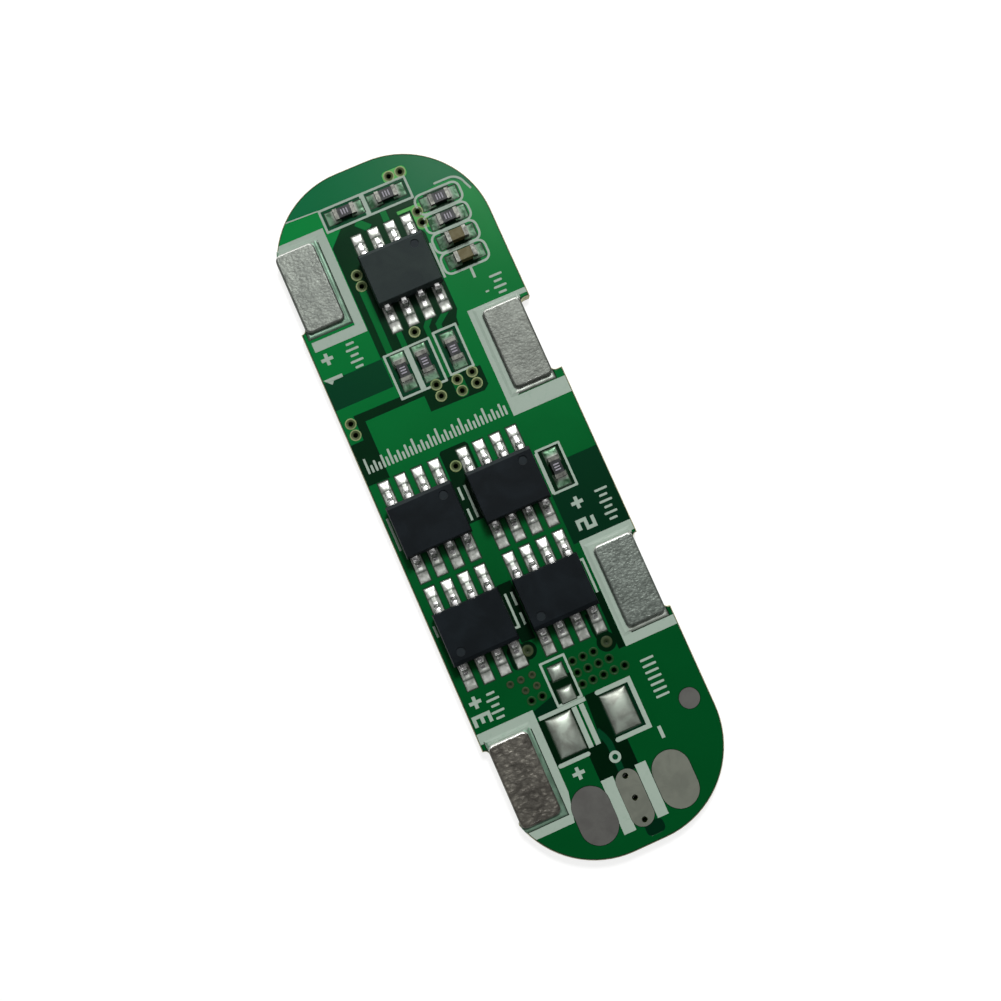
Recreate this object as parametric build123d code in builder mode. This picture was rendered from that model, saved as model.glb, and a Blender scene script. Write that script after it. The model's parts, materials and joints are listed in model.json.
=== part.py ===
from build123d import *
import os

# Protection board for a pack of three cells in series.
# Lengths are in millimetres. The origin is the centre of the board's underside,
# +Z points up through the fitted side and +Y points to the end that carries the controller.

os.makedirs("parts", exist_ok=True)

# Laminate
board_length = 52.0
board_width = 16.0
board_thickness = 1.0
corner_radius = 6.8

# Recesses milled into the long sides, one beside each cell tab
recess_length = 5.6
recess_depth = 0.4
negative_recess_depth = 0.75
cutter_radius = 0.35

# Cell tabs of nickel strip
tab_width = 2.95
tab_length = 6.1
tab_thickness = 0.3
tab_corner_radius = 0.45
tab_edge_break = 0.08
tab_outer_gap = 0.02

# Solder under a tab, showing as a rim on its inner side and at both ends
tab_solder_thickness = 0.09
tab_rim_inner = 0.3
tab_rim_end = 0.32

# Small-outline package with eight gull-wing leads
package_length = 4.9
package_width = 3.9
package_height = 1.45
package_standoff = 0.12
mould_draft = 8.0
package_bevel = 0.22
index_diameter = 0.62
index_depth = 0.08
index_inset = 0.85

# Its leads, cut from strip and formed
leads_per_side = 4
lead_pitch = 1.27
lead_span = 6.1
lead_width = 0.42
lead_thickness = 0.2
lead_shoulder = 0.38
lead_foot = 0.55
lead_shoulder_radius = 0.18
lead_heel_radius = 0.1
lead_heel_break = 0.06

# Lands and solder of the package
land_width = 0.74
land_length = 2.0
land_span = 7.62
solder_film = 0.05
lead_solder_height = 0.2
lead_solder_crown_width = 0.46
lead_solder_crown_length = 0.75

# Chip resistors and capacitors
chip_length = 1.6
chip_width = 0.82
resistor_height = 0.45
capacitor_height = 0.8
cap_length = 0.32
cap_wall = 0.03

# Solder of the chips
chip_land_span = 2.75
chip_land_length = 0.95
chip_land_width = 0.95
chip_solder_rise = 0.7
chip_solder_crown_length = 0.24
chip_solder_crown_width = 0.72

# Rectangular lands of the pack's outputs, with a pillow of solder on each
output_land_width = 1.85
output_land_length = 2.75
output_corner_radius = 0.16
output_shoulder_height = 0.15
output_shoulder_inset = 0.3
output_crown_height = 0.3
output_crown_width = 0.55
output_crown_length = 0.85
output_crown_radius = 0.05

# Lands of the spare footprint, with a bump of solder on each
spare_land_width = 1.02
spare_land_length = 1.0
spare_land_gap = 0.65
spare_bump_height = 0.26
spare_bump_slope = 0.3

# Round-ended lands for the pack's wires, and the holes of the middle one
wire_land_thickness = 0.04
wire_land_length = 4.1
wire_land_width = 2.7
sense_land_width = 1.65
sense_hole_count = 3
sense_hole_diameter = 0.42
sense_hole_spacing = 1.6

# Round alignment mark and open vias
mark_diameter = 1.45
via_diameter = 0.38
via_side_count = 10
via_pair_spacing = 0.87
via_column_spacing = 0.8
via_row_spacing = 0.86

# Distances from the controller's end of the board
first_tab_from_head = 7.1
controller_from_head = 8.59
end_row_from_head = 2.95
stack_from_head = 4.65
divider_from_head = 15.2

# Distances from the wire end of the board
third_tab_from_tail = 7.5
second_tab_from_tail = 17.04
wire_lands_from_tail = 3.3
output_lands_from_tail = 9.1
spare_lands_from_tail = 12.4
mark_from_tail = 7.9
via_array_from_tail = 11.74
lower_transistors_from_tail = 18.31
transistor_row_spacing = 8.07

# Distances from the left and right long sides
left_transistors_from_left = 3.03
positive_wire_from_left = 5.31
stack_from_right = 3.05
mark_from_right = 1.46
negative_wire_from_right = 4.62

# Distances from the lengthwise centre line and from the middle of the length
controller_off_centre = 0.27
right_transistors_off_centre = 0.99
end_row_spacing = 3.22
end_row_off_centre = -0.07
stack_spacing = 1.55
divider_off_centre = -1.585
divider_spacing = 1.65
bias_off_centre = 1.45
positive_output_off_centre = -2.27
negative_output_off_centre = 1.83
spare_lands_off_centre = -1.09
sense_wire_off_centre = 0.31
via_array_off_centre = 0.17
negative_tab_from_middle = 9.48

# Distances of the gate chip from the centre of the transistor beside it
gate_chip_beside = 3.71
gate_chip_below = 0.16

# Places worked out from these
left_side = -board_width / 2
right_side = board_width / 2
head = board_length / 2
tail = -board_length / 2
end_row_y = head - end_row_from_head
divider_y = head - divider_from_head
wire_lands_y = tail + wire_lands_from_tail
output_lands_y = tail + output_lands_from_tail
left_transistors_x = left_side + left_transistors_from_left
lower_transistors_y = tail + lower_transistors_from_tail
upper_transistors_y = lower_transistors_y + transistor_row_spacing
gate_chip_at = (right_transistors_off_centre + gate_chip_beside, upper_transistors_y - gate_chip_below)
stack_x = right_side - stack_from_right
positive_wire_x = left_side + positive_wire_from_left
negative_wire_x = right_side - negative_wire_from_right

# Levels above the underside
top_face = board_thickness
tab_seat = top_face + tab_solder_thickness
foot_seat = top_face + solder_film
package_bottom = foot_seat + package_standoff
package_top = package_bottom + package_height
lead_exit = package_bottom + (package_height - lead_thickness) / 2

# Each tab's name, side of the board, place along it and the depth of its recess
tabs = [
    ("first_cell_positive_tab", -1, head - first_tab_from_head, recess_depth),
    ("first_cell_negative_tab", 1, negative_tab_from_middle, negative_recess_depth),
    ("second_cell_positive_tab", 1, tail + second_tab_from_tail, recess_depth),
    ("third_cell_positive_tab", -1, tail + third_tab_from_tail, recess_depth),
]

# Each package's name, centre and the side of its index mark, +1 toward the controller's end
packages = [
    ("controller", (controller_off_centre, head - controller_from_head), 1),
    ("transistor_1", (left_transistors_x, upper_transistors_y), 1),
    ("transistor_2", (right_transistors_off_centre, upper_transistors_y), 1),
    ("transistor_3", (left_transistors_x, lower_transistors_y), -1),
    ("transistor_4", (right_transistors_off_centre, lower_transistors_y), -1),
]

# The chips stacked beside the controller, from the board's end inward
stack = [(stack_x, head - stack_from_head - step * stack_spacing) for step in range(4)]

# Each chip's name, centre, the angle of its length and its height
chips = [
    ("resistor_1", (end_row_off_centre - end_row_spacing / 2, end_row_y), 0, resistor_height),
    ("resistor_2", (end_row_off_centre + end_row_spacing / 2, end_row_y), 0, resistor_height),
    ("resistor_3", stack[0], 0, resistor_height),
    ("resistor_4", stack[1], 0, resistor_height),
    ("capacitor_1", stack[2], 0, capacitor_height),
    ("capacitor_2", stack[3], 0, capacitor_height),
    ("resistor_5", (divider_off_centre - divider_spacing / 2, divider_y), 90, resistor_height),
    ("resistor_6", (divider_off_centre + divider_spacing / 2, divider_y), 90, resistor_height),
    ("resistor_7", (bias_off_centre, divider_y), 90, resistor_height),
    ("resistor_8", gate_chip_at, 90, resistor_height),
]

# Vias in pairs along the board, given by the one nearer its head, then the single ones
via_pairs = [
    (-2.7, head - 7.5),
    (3.11, head - 4.92),
    (left_side + 0.7, head - 17.16),
    (-0.68, head - 17.0),
    (0.83, head - 17.24),
    (2.01, head - 17.15),
]
single_vias = [(2.26, head - 1.72), (3.13, head - 1.72), (-0.57, head - 12.9), (-1.74, upper_transistors_y + 2.77)]

# Rows of vias beside the spare lands: the centre of the first one and how many follow it to the right
via_rows = [
    (via_array_off_centre, tail + via_array_from_tail, 5),
    (via_array_off_centre, tail + via_array_from_tail + via_row_spacing, 4),
    (via_array_off_centre, tail + via_array_from_tail + 2 * via_row_spacing, 3),
    (-3.5, tail + 12.12, 2),
]


def via_centres():
    """Every open via's centre on the board."""
    centres = list(single_vias)
    for x, y in via_pairs:
        centres += [(x, y), (x, y - via_pair_spacing)]
    for x, y, count in via_rows:
        centres += [(x + column * via_column_spacing, y) for column in range(count)]
    return centres


def sense_hole_centres():
    """The centres of the sense land's holes, which pass through the board too."""
    middle = (sense_hole_count - 1) / 2
    return [
        (sense_wire_off_centre, wire_lands_y + (step - middle) * sense_hole_spacing)
        for step in range(sense_hole_count)
    ]


def recess_floor(side, depth):
    """Where a recess's floor lies across the board, on the left (-1) or right (+1) side."""
    return side * (board_width / 2 - depth)


def lead_places(centre):
    """Each lead of a package: its place across the board and the side it leaves from."""
    middle = (leads_per_side - 1) / 2
    return [
        (centre[0] + (column - middle) * lead_pitch, side)
        for column in range(leads_per_side)
        for side in (1, -1)
    ]


def chip_plane(centre, angle, level):
    """A level plane at a chip's centre, with its X along the chip."""
    return Plane((centre[0], centre[1], level)).rotated((0, 0, angle))


def bank_plane(centre, outward, distance):
    """Where a bank of solder stands on its land: Y points up, Z points back to the centre of its part."""
    direction = Vector(1, 0, 0).rotate(Axis.Z, outward)
    origin = Vector(centre[0], centre[1], top_face) + direction * distance
    return Plane(origin, x_dir=direction.cross(Vector(0, 0, 1)), z_dir=-direction)


def finish(builder, name):
    """Label a finished piece and write it out under its own name."""
    builder.part.label = name
    export_step(builder.part, f"parts/{name}.step")


# Circuit board: rounded outline, recesses with the cutter's radius, vias and sense holes.
# A via is too fine to need a round wall, so it is drawn with a few flats.
with BuildPart() as circuit_board:
    with BuildSketch(Plane.XY):
        RectangleRounded(board_width, board_length, corner_radius)
        for name, side, y, depth in tabs:
            with Locations((side * board_width / 2, y)):
                RectangleRounded(2 * depth, recess_length, min(cutter_radius, 0.9 * depth), mode=Mode.SUBTRACT)
        with Locations(*via_centres()):
            RegularPolygon(via_diameter / 2, via_side_count, mode=Mode.SUBTRACT)
        with Locations(*sense_hole_centres()):
            Circle(sense_hole_diameter / 2, mode=Mode.SUBTRACT)
    extrude(amount=board_thickness)
finish(circuit_board, "circuit_board")


def build_tab(side, y, depth):
    """One nickel tab with rounded corners and a broken upper edge, flush with its recess."""
    x = recess_floor(side, depth) - side * (tab_outer_gap + tab_width / 2)
    with BuildPart() as tab:
        with BuildSketch(Plane((x, y, tab_seat))):
            RectangleRounded(tab_width, tab_length, tab_corner_radius)
        extrude(amount=tab_thickness)
        chamfer(tab.faces().sort_by(Axis.Z)[-1].edges(), length=min(tab_edge_break, tab_thickness / 2))
    return tab


def build_tab_solder(side, y, depth):
    """The solder on a tab's land: it ends at the recess and shows past the tab on the other sides."""
    width = tab_outer_gap + tab_width + tab_rim_inner
    x = recess_floor(side, depth) - side * width / 2
    with BuildPart() as solder:
        with BuildSketch(Plane.XY.offset(top_face)):
            RectangleRounded(board_width, board_length, corner_radius)
            with Locations((x, y)):
                Rectangle(width, tab_length + 2 * tab_rim_end, mode=Mode.INTERSECT)
        extrude(amount=tab_solder_thickness)
    return solder


for name, side, y, depth in tabs:
    finish(build_tab(side, y, depth), name)
    finish(build_tab_solder(side, y, depth), f"{name}_solder")


def build_package_body(centre, index_side):
    """A moulded body: a flat band where the leads leave it, drafted halves, a bevel and an index dimple."""
    x, y = centre
    band_top = lead_exit + lead_thickness
    with BuildPart() as body:
        with BuildSketch(Plane((x, y, lead_exit))):
            Rectangle(package_length, package_width)
        extrude(amount=lead_thickness)
        with BuildSketch(Plane((x, y, band_top))):
            Rectangle(package_length, package_width)
        extrude(amount=package_top - band_top, taper=mould_draft)
        with BuildSketch(Plane((x, y, lead_exit))):
            Rectangle(package_length, package_width)
        extrude(amount=package_bottom - lead_exit, taper=mould_draft)
        top_edges = body.edges().filter_by(Axis.X).group_by(Axis.Z)[-1]
        chamfer(top_edges.sort_by(Axis.Y)[-1 if index_side > 0 else 0], length=package_bevel)
        index_x = x + index_side * (package_length / 2 - index_inset)
        index_y = y + index_side * (package_width / 2 - index_inset)
        with BuildSketch(Plane((index_x, index_y, package_top))):
            Circle(index_diameter / 2)
        extrude(amount=-index_depth, mode=Mode.SUBTRACT)
    return body


def build_package_leads(centre):
    """Eight gull-wing leads: a shoulder, two formed bends and a flat foot on each."""
    exit_at = package_width / 2
    toe_at = lead_span / 2
    shoulder_bend = (exit_at + lead_shoulder, lead_exit + lead_thickness)
    heel_bend = (toe_at - lead_foot, foot_seat + lead_thickness)
    with BuildPart() as leads:
        for x, side in lead_places(centre):
            profile = Plane((x, centre[1], 0), x_dir=(0, side, 0), z_dir=(side, 0, 0))
            with BuildSketch(profile) as section:
                with BuildLine():
                    upper = Polyline((exit_at, shoulder_bend[1]), shoulder_bend, heel_bend, (toe_at, heel_bend[1]))
                    offset(upper, lead_thickness, kind=Kind.INTERSECTION, side=Side.RIGHT, closed=True)
                make_face()
                corners = section.vertices()
                fillet(corners.sort_by_distance((*shoulder_bend, 0))[0], lead_shoulder_radius)
                fillet(section.vertices().sort_by_distance((*heel_bend, 0))[0], lead_heel_radius)
                chamfer(section.vertices().group_by(Axis.Y)[0].sort_by(Axis.X)[0], lead_heel_break)
            extrude(amount=lead_width / 2, both=True)
    return leads


def build_package_solder(centre, leads):
    """The solder on a package's eight lands, banked up round each foot."""
    land_at = (land_span - land_length) / 2
    side_slope = (land_width - lead_solder_crown_width) / 2
    toe_slope = (land_span - lead_span + lead_foot - lead_solder_crown_length) / 2
    with BuildPart() as solder:
        for x, side in lead_places(centre):
            with Locations(bank_plane((x, centre[1]), side * 90, land_at)):
                Wedge(
                    land_width,
                    lead_solder_height,
                    land_length,
                    side_slope,
                    toe_slope,
                    side_slope + lead_solder_crown_width,
                    toe_slope + lead_solder_crown_length,
                    align=(Align.CENTER, Align.MIN, Align.CENTER),
                )
        add(leads.part, mode=Mode.SUBTRACT)
    return solder


for name, centre, index_side in packages:
    package_leads = build_package_leads(centre)
    finish(build_package_body(centre, index_side), f"{name}_body")
    finish(package_leads, f"{name}_leads")
    finish(build_package_solder(centre, package_leads), f"{name}_solder")


def build_chip_core(centre, angle, height):
    """The ceramic of a chip, smaller than the chip by the walls of its end caps."""
    with BuildPart() as core:
        with BuildSketch(chip_plane(centre, angle, foot_seat + cap_wall)):
            Rectangle(chip_length - 2 * cap_wall, chip_width - 2 * cap_wall)
        extrude(amount=height - 2 * cap_wall)
    return core


def build_chip_caps(centre, angle, height, core):
    """The two end caps that wrap the ends of a chip's ceramic."""
    with BuildPart() as caps:
        with BuildSketch(chip_plane(centre, angle, foot_seat)):
            with GridLocations(chip_length - cap_length, 0, 2, 1):
                Rectangle(cap_length, chip_width)
        extrude(amount=height)
        add(core.part, mode=Mode.SUBTRACT)
    return caps


for name, centre, angle, height in chips:
    chip_core = build_chip_core(centre, angle, height)
    finish(chip_core, f"{name}_body")
    finish(build_chip_caps(centre, angle, height, chip_core), f"{name}_end_caps")


# Solder of the ten chips: a bank on each land that climbs the end of its chip
with BuildPart() as chip_solder:
    chip_land_at = (chip_land_span - chip_land_length) / 2
    chip_side_slope = (chip_land_width - chip_solder_crown_width) / 2
    chip_toe_slope = (chip_land_span - chip_length - chip_solder_crown_length) / 2
    for name, centre, angle, height in chips:
        for outward in (angle, angle + 180):
            with Locations(bank_plane(centre, outward, chip_land_at)):
                Wedge(
                    chip_land_width,
                    height * chip_solder_rise,
                    chip_land_length,
                    chip_side_slope,
                    chip_toe_slope,
                    chip_side_slope + chip_solder_crown_width,
                    chip_toe_slope + chip_solder_crown_length,
                    align=(Align.CENTER, Align.MIN, Align.CENTER),
                )
        with BuildSketch(chip_plane(centre, angle, foot_seat)):
            Rectangle(chip_length, chip_width)
        extrude(amount=height, mode=Mode.SUBTRACT)
finish(chip_solder, "chip_solder")


def build_output_solder(x):
    """A low pillow of solder on a pack output's land, steep at its edge and flatter to its crown."""
    shoulder_width = output_land_width - output_shoulder_inset
    shoulder_length = output_land_length - output_shoulder_inset
    with BuildPart() as pillow:
        with BuildSketch(Plane((x, output_lands_y, top_face))):
            RectangleRounded(output_land_width, output_land_length, output_corner_radius)
        with BuildSketch(Plane((x, output_lands_y, top_face + output_shoulder_height))):
            RectangleRounded(shoulder_width, shoulder_length, output_corner_radius)
        with BuildSketch(Plane((x, output_lands_y, top_face + output_crown_height))):
            RectangleRounded(output_crown_width, output_crown_length, output_crown_radius)
        loft(ruled=True)
    return pillow


finish(build_output_solder(positive_output_off_centre), "positive_output_solder")
finish(build_output_solder(negative_output_off_centre), "negative_output_solder")

# Solder bumps on the two lands of the spare footprint
with BuildPart() as spare_footprint_solder:
    for outward in (90, -90):
        spare_centre = (spare_lands_off_centre, tail + spare_lands_from_tail)
        with Locations(bank_plane(spare_centre, outward, (spare_land_length + spare_land_gap) / 2)):
            Wedge(
                spare_land_width,
                spare_bump_height,
                spare_land_length,
                spare_bump_slope,
                spare_bump_slope,
                spare_land_width - spare_bump_slope,
                spare_land_length - spare_bump_slope,
                align=(Align.CENTER, Align.MIN, Align.CENTER),
            )
finish(spare_footprint_solder, "spare_footprint_solder")


def build_wire_land(x, width, holes=()):
    """A flat land with round ends, with a hole at each of the given centres."""
    with BuildPart() as land:
        with BuildSketch(Plane((0, 0, top_face))):
            with Locations((x, wire_lands_y)):
                SlotOverall(wire_land_length, width, rotation=90)
            if holes:
                with Locations(*holes):
                    Circle(sense_hole_diameter / 2, mode=Mode.SUBTRACT)
        extrude(amount=wire_land_thickness)
    return land


finish(build_wire_land(positive_wire_x, wire_land_width), "positive_wire_land")
finish(build_wire_land(sense_wire_off_centre, sense_land_width, sense_hole_centres()), "sense_wire_land")
finish(build_wire_land(negative_wire_x, wire_land_width), "negative_wire_land")

# Round alignment mark
with BuildPart() as alignment_mark:
    with BuildSketch(Plane((right_side - mark_from_right, tail + mark_from_tail, top_face))):
        Circle(mark_diameter / 2)
    extrude(amount=wire_land_thickness)
finish(alignment_mark, "alignment_mark")
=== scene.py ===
"""Looks of a battery management board for three cells in series.

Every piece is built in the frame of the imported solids: the origin is the centre of the
board's underside, +Z points up through the fitted side and +Y towards the controller.
Objects are in metres. Sizes and places written in this file are in millimetres.
"""

from __future__ import annotations

import json
import logging
import math
from collections import Counter
from dataclasses import dataclass
from enum import Enum
from typing import Iterable, Sequence

import bmesh
import bpy
import numpy as np
from mathutils import Matrix, Vector
from mathutils.geometry import delaunay_2d_cdt

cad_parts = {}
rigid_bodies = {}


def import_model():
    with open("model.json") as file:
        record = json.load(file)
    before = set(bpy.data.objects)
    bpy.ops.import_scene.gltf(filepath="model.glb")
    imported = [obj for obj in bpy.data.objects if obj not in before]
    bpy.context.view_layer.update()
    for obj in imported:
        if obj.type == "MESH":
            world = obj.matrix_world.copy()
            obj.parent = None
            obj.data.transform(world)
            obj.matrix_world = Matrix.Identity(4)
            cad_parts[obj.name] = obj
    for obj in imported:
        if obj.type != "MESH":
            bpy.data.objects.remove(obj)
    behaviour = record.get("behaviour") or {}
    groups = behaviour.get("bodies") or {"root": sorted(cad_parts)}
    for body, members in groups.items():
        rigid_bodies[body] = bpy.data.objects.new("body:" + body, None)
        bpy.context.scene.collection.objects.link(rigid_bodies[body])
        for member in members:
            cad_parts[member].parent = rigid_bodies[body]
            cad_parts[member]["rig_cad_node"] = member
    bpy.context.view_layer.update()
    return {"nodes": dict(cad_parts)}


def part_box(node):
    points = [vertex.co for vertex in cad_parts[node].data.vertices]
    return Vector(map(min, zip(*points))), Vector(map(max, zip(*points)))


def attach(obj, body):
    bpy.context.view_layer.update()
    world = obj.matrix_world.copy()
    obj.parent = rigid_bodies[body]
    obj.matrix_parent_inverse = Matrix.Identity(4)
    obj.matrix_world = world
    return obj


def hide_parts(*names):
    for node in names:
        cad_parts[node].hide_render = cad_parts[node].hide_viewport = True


LOG = logging.getLogger("board_looks")

Point = tuple[float, float]
Place = tuple[float, float, float]
Outline = list[Point]
Ring = tuple[float, float]
Colour = tuple[float, float, float, float]
Socket = bpy.types.NodeSocket
NodeTree = bpy.types.NodeTree
Material = bpy.types.Material
SceneObject = bpy.types.Object

MM = 0.001
WELD_DISTANCE = 1e-7
MAP_SNAP = 1e-4
FLAT_ANGLE = math.radians(1)
SHARP_ANGLE = math.radians(20)
BODY = "root"


class Slot(Enum):
    """The record's material slots."""

    MASK = "masked_laminate"
    NICKEL = "nickel_strip"
    COMPOUND = "moulding_compound"
    LEAD = "tinned_lead"
    GLAZE = "resistor_glaze"
    CERAMIC = "capacitor_ceramic"
    END_CAP = "end_cap"
    SOLDER = "solder"
    LAND = "tinned_land"


@dataclass(frozen=True)
class Step:
    """A level of a terraced sheet: its height above the underside and the tone that its finish reads."""

    height: float
    tone: float


class Cover(Enum):
    """What lies under the mask at a place on the board, and how light it looks there."""

    DEEP = Step(1.010, 0.0)
    BARE = Step(1.012, 0.3)
    TEAL = Step(1.014, 0.55)
    TRACK = Step(1.026, 0.85)
    COPPER = Step(1.028, 1.0)
    PAD = Step(1.030, 1.3)

    @property
    def height(self) -> float:
        """How high the mask stands there."""
        return self.value.height


@dataclass(frozen=True)
class Box:
    """The lowest and highest corners of a solid, in millimetres."""

    low: Vector
    high: Vector

    @property
    def centre(self) -> Vector:
        """The middle of the box."""
        return (self.low + self.high) / 2

    @property
    def size(self) -> Vector:
        """The box's edges along X, Y and Z."""
        return self.high - self.low

    def outline(self, margin: float = 0.0) -> Outline:
        """The box seen from above, grown by a margin on every side."""
        low, high = self.low, self.high
        return rectangle(low.x - margin, low.y - margin, high.x + margin, high.y + margin)

    def holds(self, point: Point) -> bool:
        """Whether a point lies inside the box seen from above."""
        return self.low.x < point[0] < self.high.x and self.low.y < point[1] < self.high.y


def node_box(node: str) -> Box:
    """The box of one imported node, in millimetres."""
    low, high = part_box(node)
    return Box(low / MM, high / MM)


def packed(node: str) -> SceneObject:
    """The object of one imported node."""
    return bpy.data.objects[node]


def welded(node: SceneObject) -> bmesh.types.BMesh:
    """A joined-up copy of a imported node's loose triangles.

    Args:
        node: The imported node's object.

    Returns:
        The copy, which the caller frees.
    """
    copy = bmesh.new()
    copy.from_mesh(node.data)
    bmesh.ops.remove_doubles(copy, verts=copy.verts, dist=WELD_DISTANCE)
    return copy


def solid_boxes(node: SceneObject) -> list[Box]:
    """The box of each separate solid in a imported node.

    Args:
        node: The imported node's object.

    Returns:
        The boxes in millimetres, ordered along X and then along Y.
    """
    copy = welded(node)
    waiting = set(copy.verts)
    boxes = []
    while waiting:
        edge = [waiting.pop()]
        found = []
        while edge:
            vertex = edge.pop()
            found.append(tuple(vertex.co / MM))
            for link in vertex.link_edges:
                other = link.other_vert(vertex)
                if other in waiting:
                    waiting.remove(other)
                    edge.append(other)
        points = np.array(found)
        boxes.append(Box(Vector(points.min(0)), Vector(points.max(0))))
    copy.free()
    return sorted(boxes, key=lambda box: (round(box.centre.x, 3), round(box.centre.y, 3)))


def top_loops(node: SceneObject) -> list[np.ndarray]:
    """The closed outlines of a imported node's highest flat face.

    Args:
        node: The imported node's object.

    Returns:
        Arrays of points in millimetres with the material on their left, the longest outline first.
    """
    copy = welded(node)
    top = max(vertex.co.z for vertex in copy.verts)
    level = {f for f in copy.faces if all(abs(v.co.z - top) < WELD_DISTANCE for v in f.verts)}
    following = {}
    for face in copy.faces:
        for loop in face.loops:
            if face in level and sum(1 for other in loop.edge.link_faces if other in level) == 1:
                following[loop.vert.index] = loop.link_loop_next.vert.index
    places = {v.index: (v.co.x / MM, v.co.y / MM) for v in copy.verts}
    loops = []
    while following:
        start, at = following.popitem()
        chain = [start]
        while at != start:
            chain.append(at)
            at = following.pop(at)
        loops.append(np.array([places[index] for index in chain]))
    copy.free()
    return sorted(loops, key=loop_length, reverse=True)


def loop_length(loop: np.ndarray) -> float:
    """The length round a closed outline."""
    return float(np.linalg.norm(loop - np.roll(loop, 1, axis=0), axis=1).sum())


def signed_area(outline: Sequence[Point]) -> float:
    """Twice the area inside an outline, positive when it runs anticlockwise.

    Args:
        outline: The closed outline's points.

    Returns:
        Twice the area in square millimetres.
    """
    points = np.asarray(outline, float)
    after = np.roll(points, -1, axis=0)
    return float((points[:, 0] * after[:, 1] - points[:, 1] * after[:, 0]).sum())


def inset_loop(loop: np.ndarray, distance: float) -> np.ndarray:
    """A closed outline moved into its material.

    Args:
        loop: The outline, with the material on its left.
        distance: How far it is moved. A negative distance moves it out.

    Returns:
        The moved outline, with mitred corners.
    """
    before = loop - np.roll(loop, 1, axis=0)
    after = np.roll(loop, -1, axis=0) - loop
    before /= np.linalg.norm(before, axis=1)[:, None]
    after /= np.linalg.norm(after, axis=1)[:, None]
    first = np.column_stack((-before[:, 1], before[:, 0]))
    second = np.column_stack((-after[:, 1], after[:, 0]))
    middle = first + second
    middle /= np.linalg.norm(middle, axis=1)[:, None]
    reach = np.clip((middle * first).sum(1), 0.5, 1.0)
    return loop + middle * (distance / reach)[:, None]


def inset_points(loop: np.ndarray, distance: float) -> Outline:
    """A closed outline moved into its material, as a list of points."""
    return [tuple(point) for point in inset_loop(loop, distance)]


def straightened(loop: np.ndarray, tolerance: float) -> np.ndarray:
    """An outline without the points that lie almost on the line between their neighbours.

    Args:
        loop: The closed outline.
        tolerance: How far off the line a point may lie and still be left out.

    Returns:
        The plainer outline.
    """
    while len(loop) > 3:
        before, after = np.roll(loop, 1, axis=0), np.roll(loop, -1, axis=0)
        span, step = after - before, loop - before
        away = np.abs(span[:, 0] * step[:, 1] - span[:, 1] * step[:, 0]) / np.linalg.norm(span, axis=1)
        if away.min() > tolerance:
            break
        loop = np.delete(loop, away.argmin(), axis=0)
    return loop


def rectangle(left: float, bottom: float, right: float, top: float) -> Outline:
    """A rectangle's corners, anticlockwise."""
    return [(left, bottom), (right, bottom), (right, top), (left, top)]


def around(centre: Point, radius: float, angles: Iterable[float]) -> Outline:
    """The points of a circle at angles in radians."""
    return [(centre[0] + radius * math.cos(a), centre[1] + radius * math.sin(a)) for a in angles]


def disc(centre: Point, radius: float, steps: int = 32) -> Outline:
    """A circle's points, anticlockwise."""
    return around(centre, radius, [math.tau * step / steps for step in range(steps)])


def arc(centre: Point, radius: float, start: float, end: float, steps: int = 8) -> Outline:
    """Points along an arc between two angles in degrees."""
    spread = end - start
    return around(centre, radius, [math.radians(start + spread * step / steps) for step in range(steps + 1)])


def half_circle(centre: np.ndarray, start: np.ndarray, radius: float, steps: int = 8) -> Outline:
    """The points of a half circle that turns anticlockwise from a direction, without its two ends."""
    first = math.atan2(start[1], start[0])
    return around(centre, radius, [first + math.pi * step / steps for step in range(1, steps)])


def rounded_rectangle(left: float, bottom: float, right: float, top: float, radius: float) -> Outline:
    """A rectangle with round corners.

    Args:
        left: Its lowest X.
        bottom: Its lowest Y.
        right: Its highest X.
        top: Its highest Y.
        radius: The radius of its corners.

    Returns:
        Its points, anticlockwise.
    """
    corners = [(right - radius, bottom + radius, -90), (right - radius, top - radius, 0)]
    corners += [(left + radius, top - radius, 90), (left + radius, bottom + radius, 180)]
    return [point for x, y, start in corners for point in arc((x, y), radius, start, start + 90, 6)]


def stroke(path: Sequence[Point], width: float, round_ends: bool = False) -> Outline:
    """The outline of a line of a given width drawn along a path.

    Args:
        path: The points that the middle of the line passes.
        width: The line's width.
        round_ends: Whether both ends are half circles.

    Returns:
        The line's outline, with mitred corners.
    """
    points = np.asarray(path, float)
    runs = np.diff(points, axis=0)
    runs /= np.linalg.norm(runs, axis=1)[:, None]
    normals = np.column_stack((-runs[:, 1], runs[:, 0]))
    before = np.vstack((normals[:1], normals))
    after = np.vstack((normals, normals[-1:]))
    middle = before + after
    middle /= np.linalg.norm(middle, axis=1)[:, None]
    offset = middle * (width / 2 / (middle * before).sum(1))[:, None]
    left, right = points + offset, points - offset
    ends = [half_circle(points[-1], -normals[-1], width / 2), half_circle(points[0], normals[0], width / 2)]
    far, near = ends if round_ends else ([], [])
    return [tuple(p) for p in right] + far + [tuple(p) for p in left[::-1]] + near


def linked(name: str, data: bpy.types.ID) -> SceneObject:
    """A new object in the scene, at the origin.

    Args:
        name: The object's name.
        data: What it holds.

    Returns:
        The new object.
    """
    made = bpy.data.objects.new(name, data)
    bpy.context.scene.collection.objects.link(made)
    return made


def make_object(
    name: str, points: np.ndarray, faces: Sequence[Sequence[int]], smooth: bool = False
) -> SceneObject:
    """Make a mesh object in the row frame.

    Args:
        name: The piece's name.
        points: The vertices in millimetres.
        faces: The vertex indices of each face, anticlockwise seen from outside.
        smooth: Whether its faces are shaded smooth.

    Returns:
        The new object, at the origin.
    """
    mesh = bpy.data.meshes.new(name)
    mesh.from_pydata((np.asarray(points, float) * MM).tolist(), [], [list(face) for face in faces])
    mesh.polygons.foreach_set("use_smooth", [smooth] * len(mesh.polygons))
    mesh.update()
    return linked(name, mesh)


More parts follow.
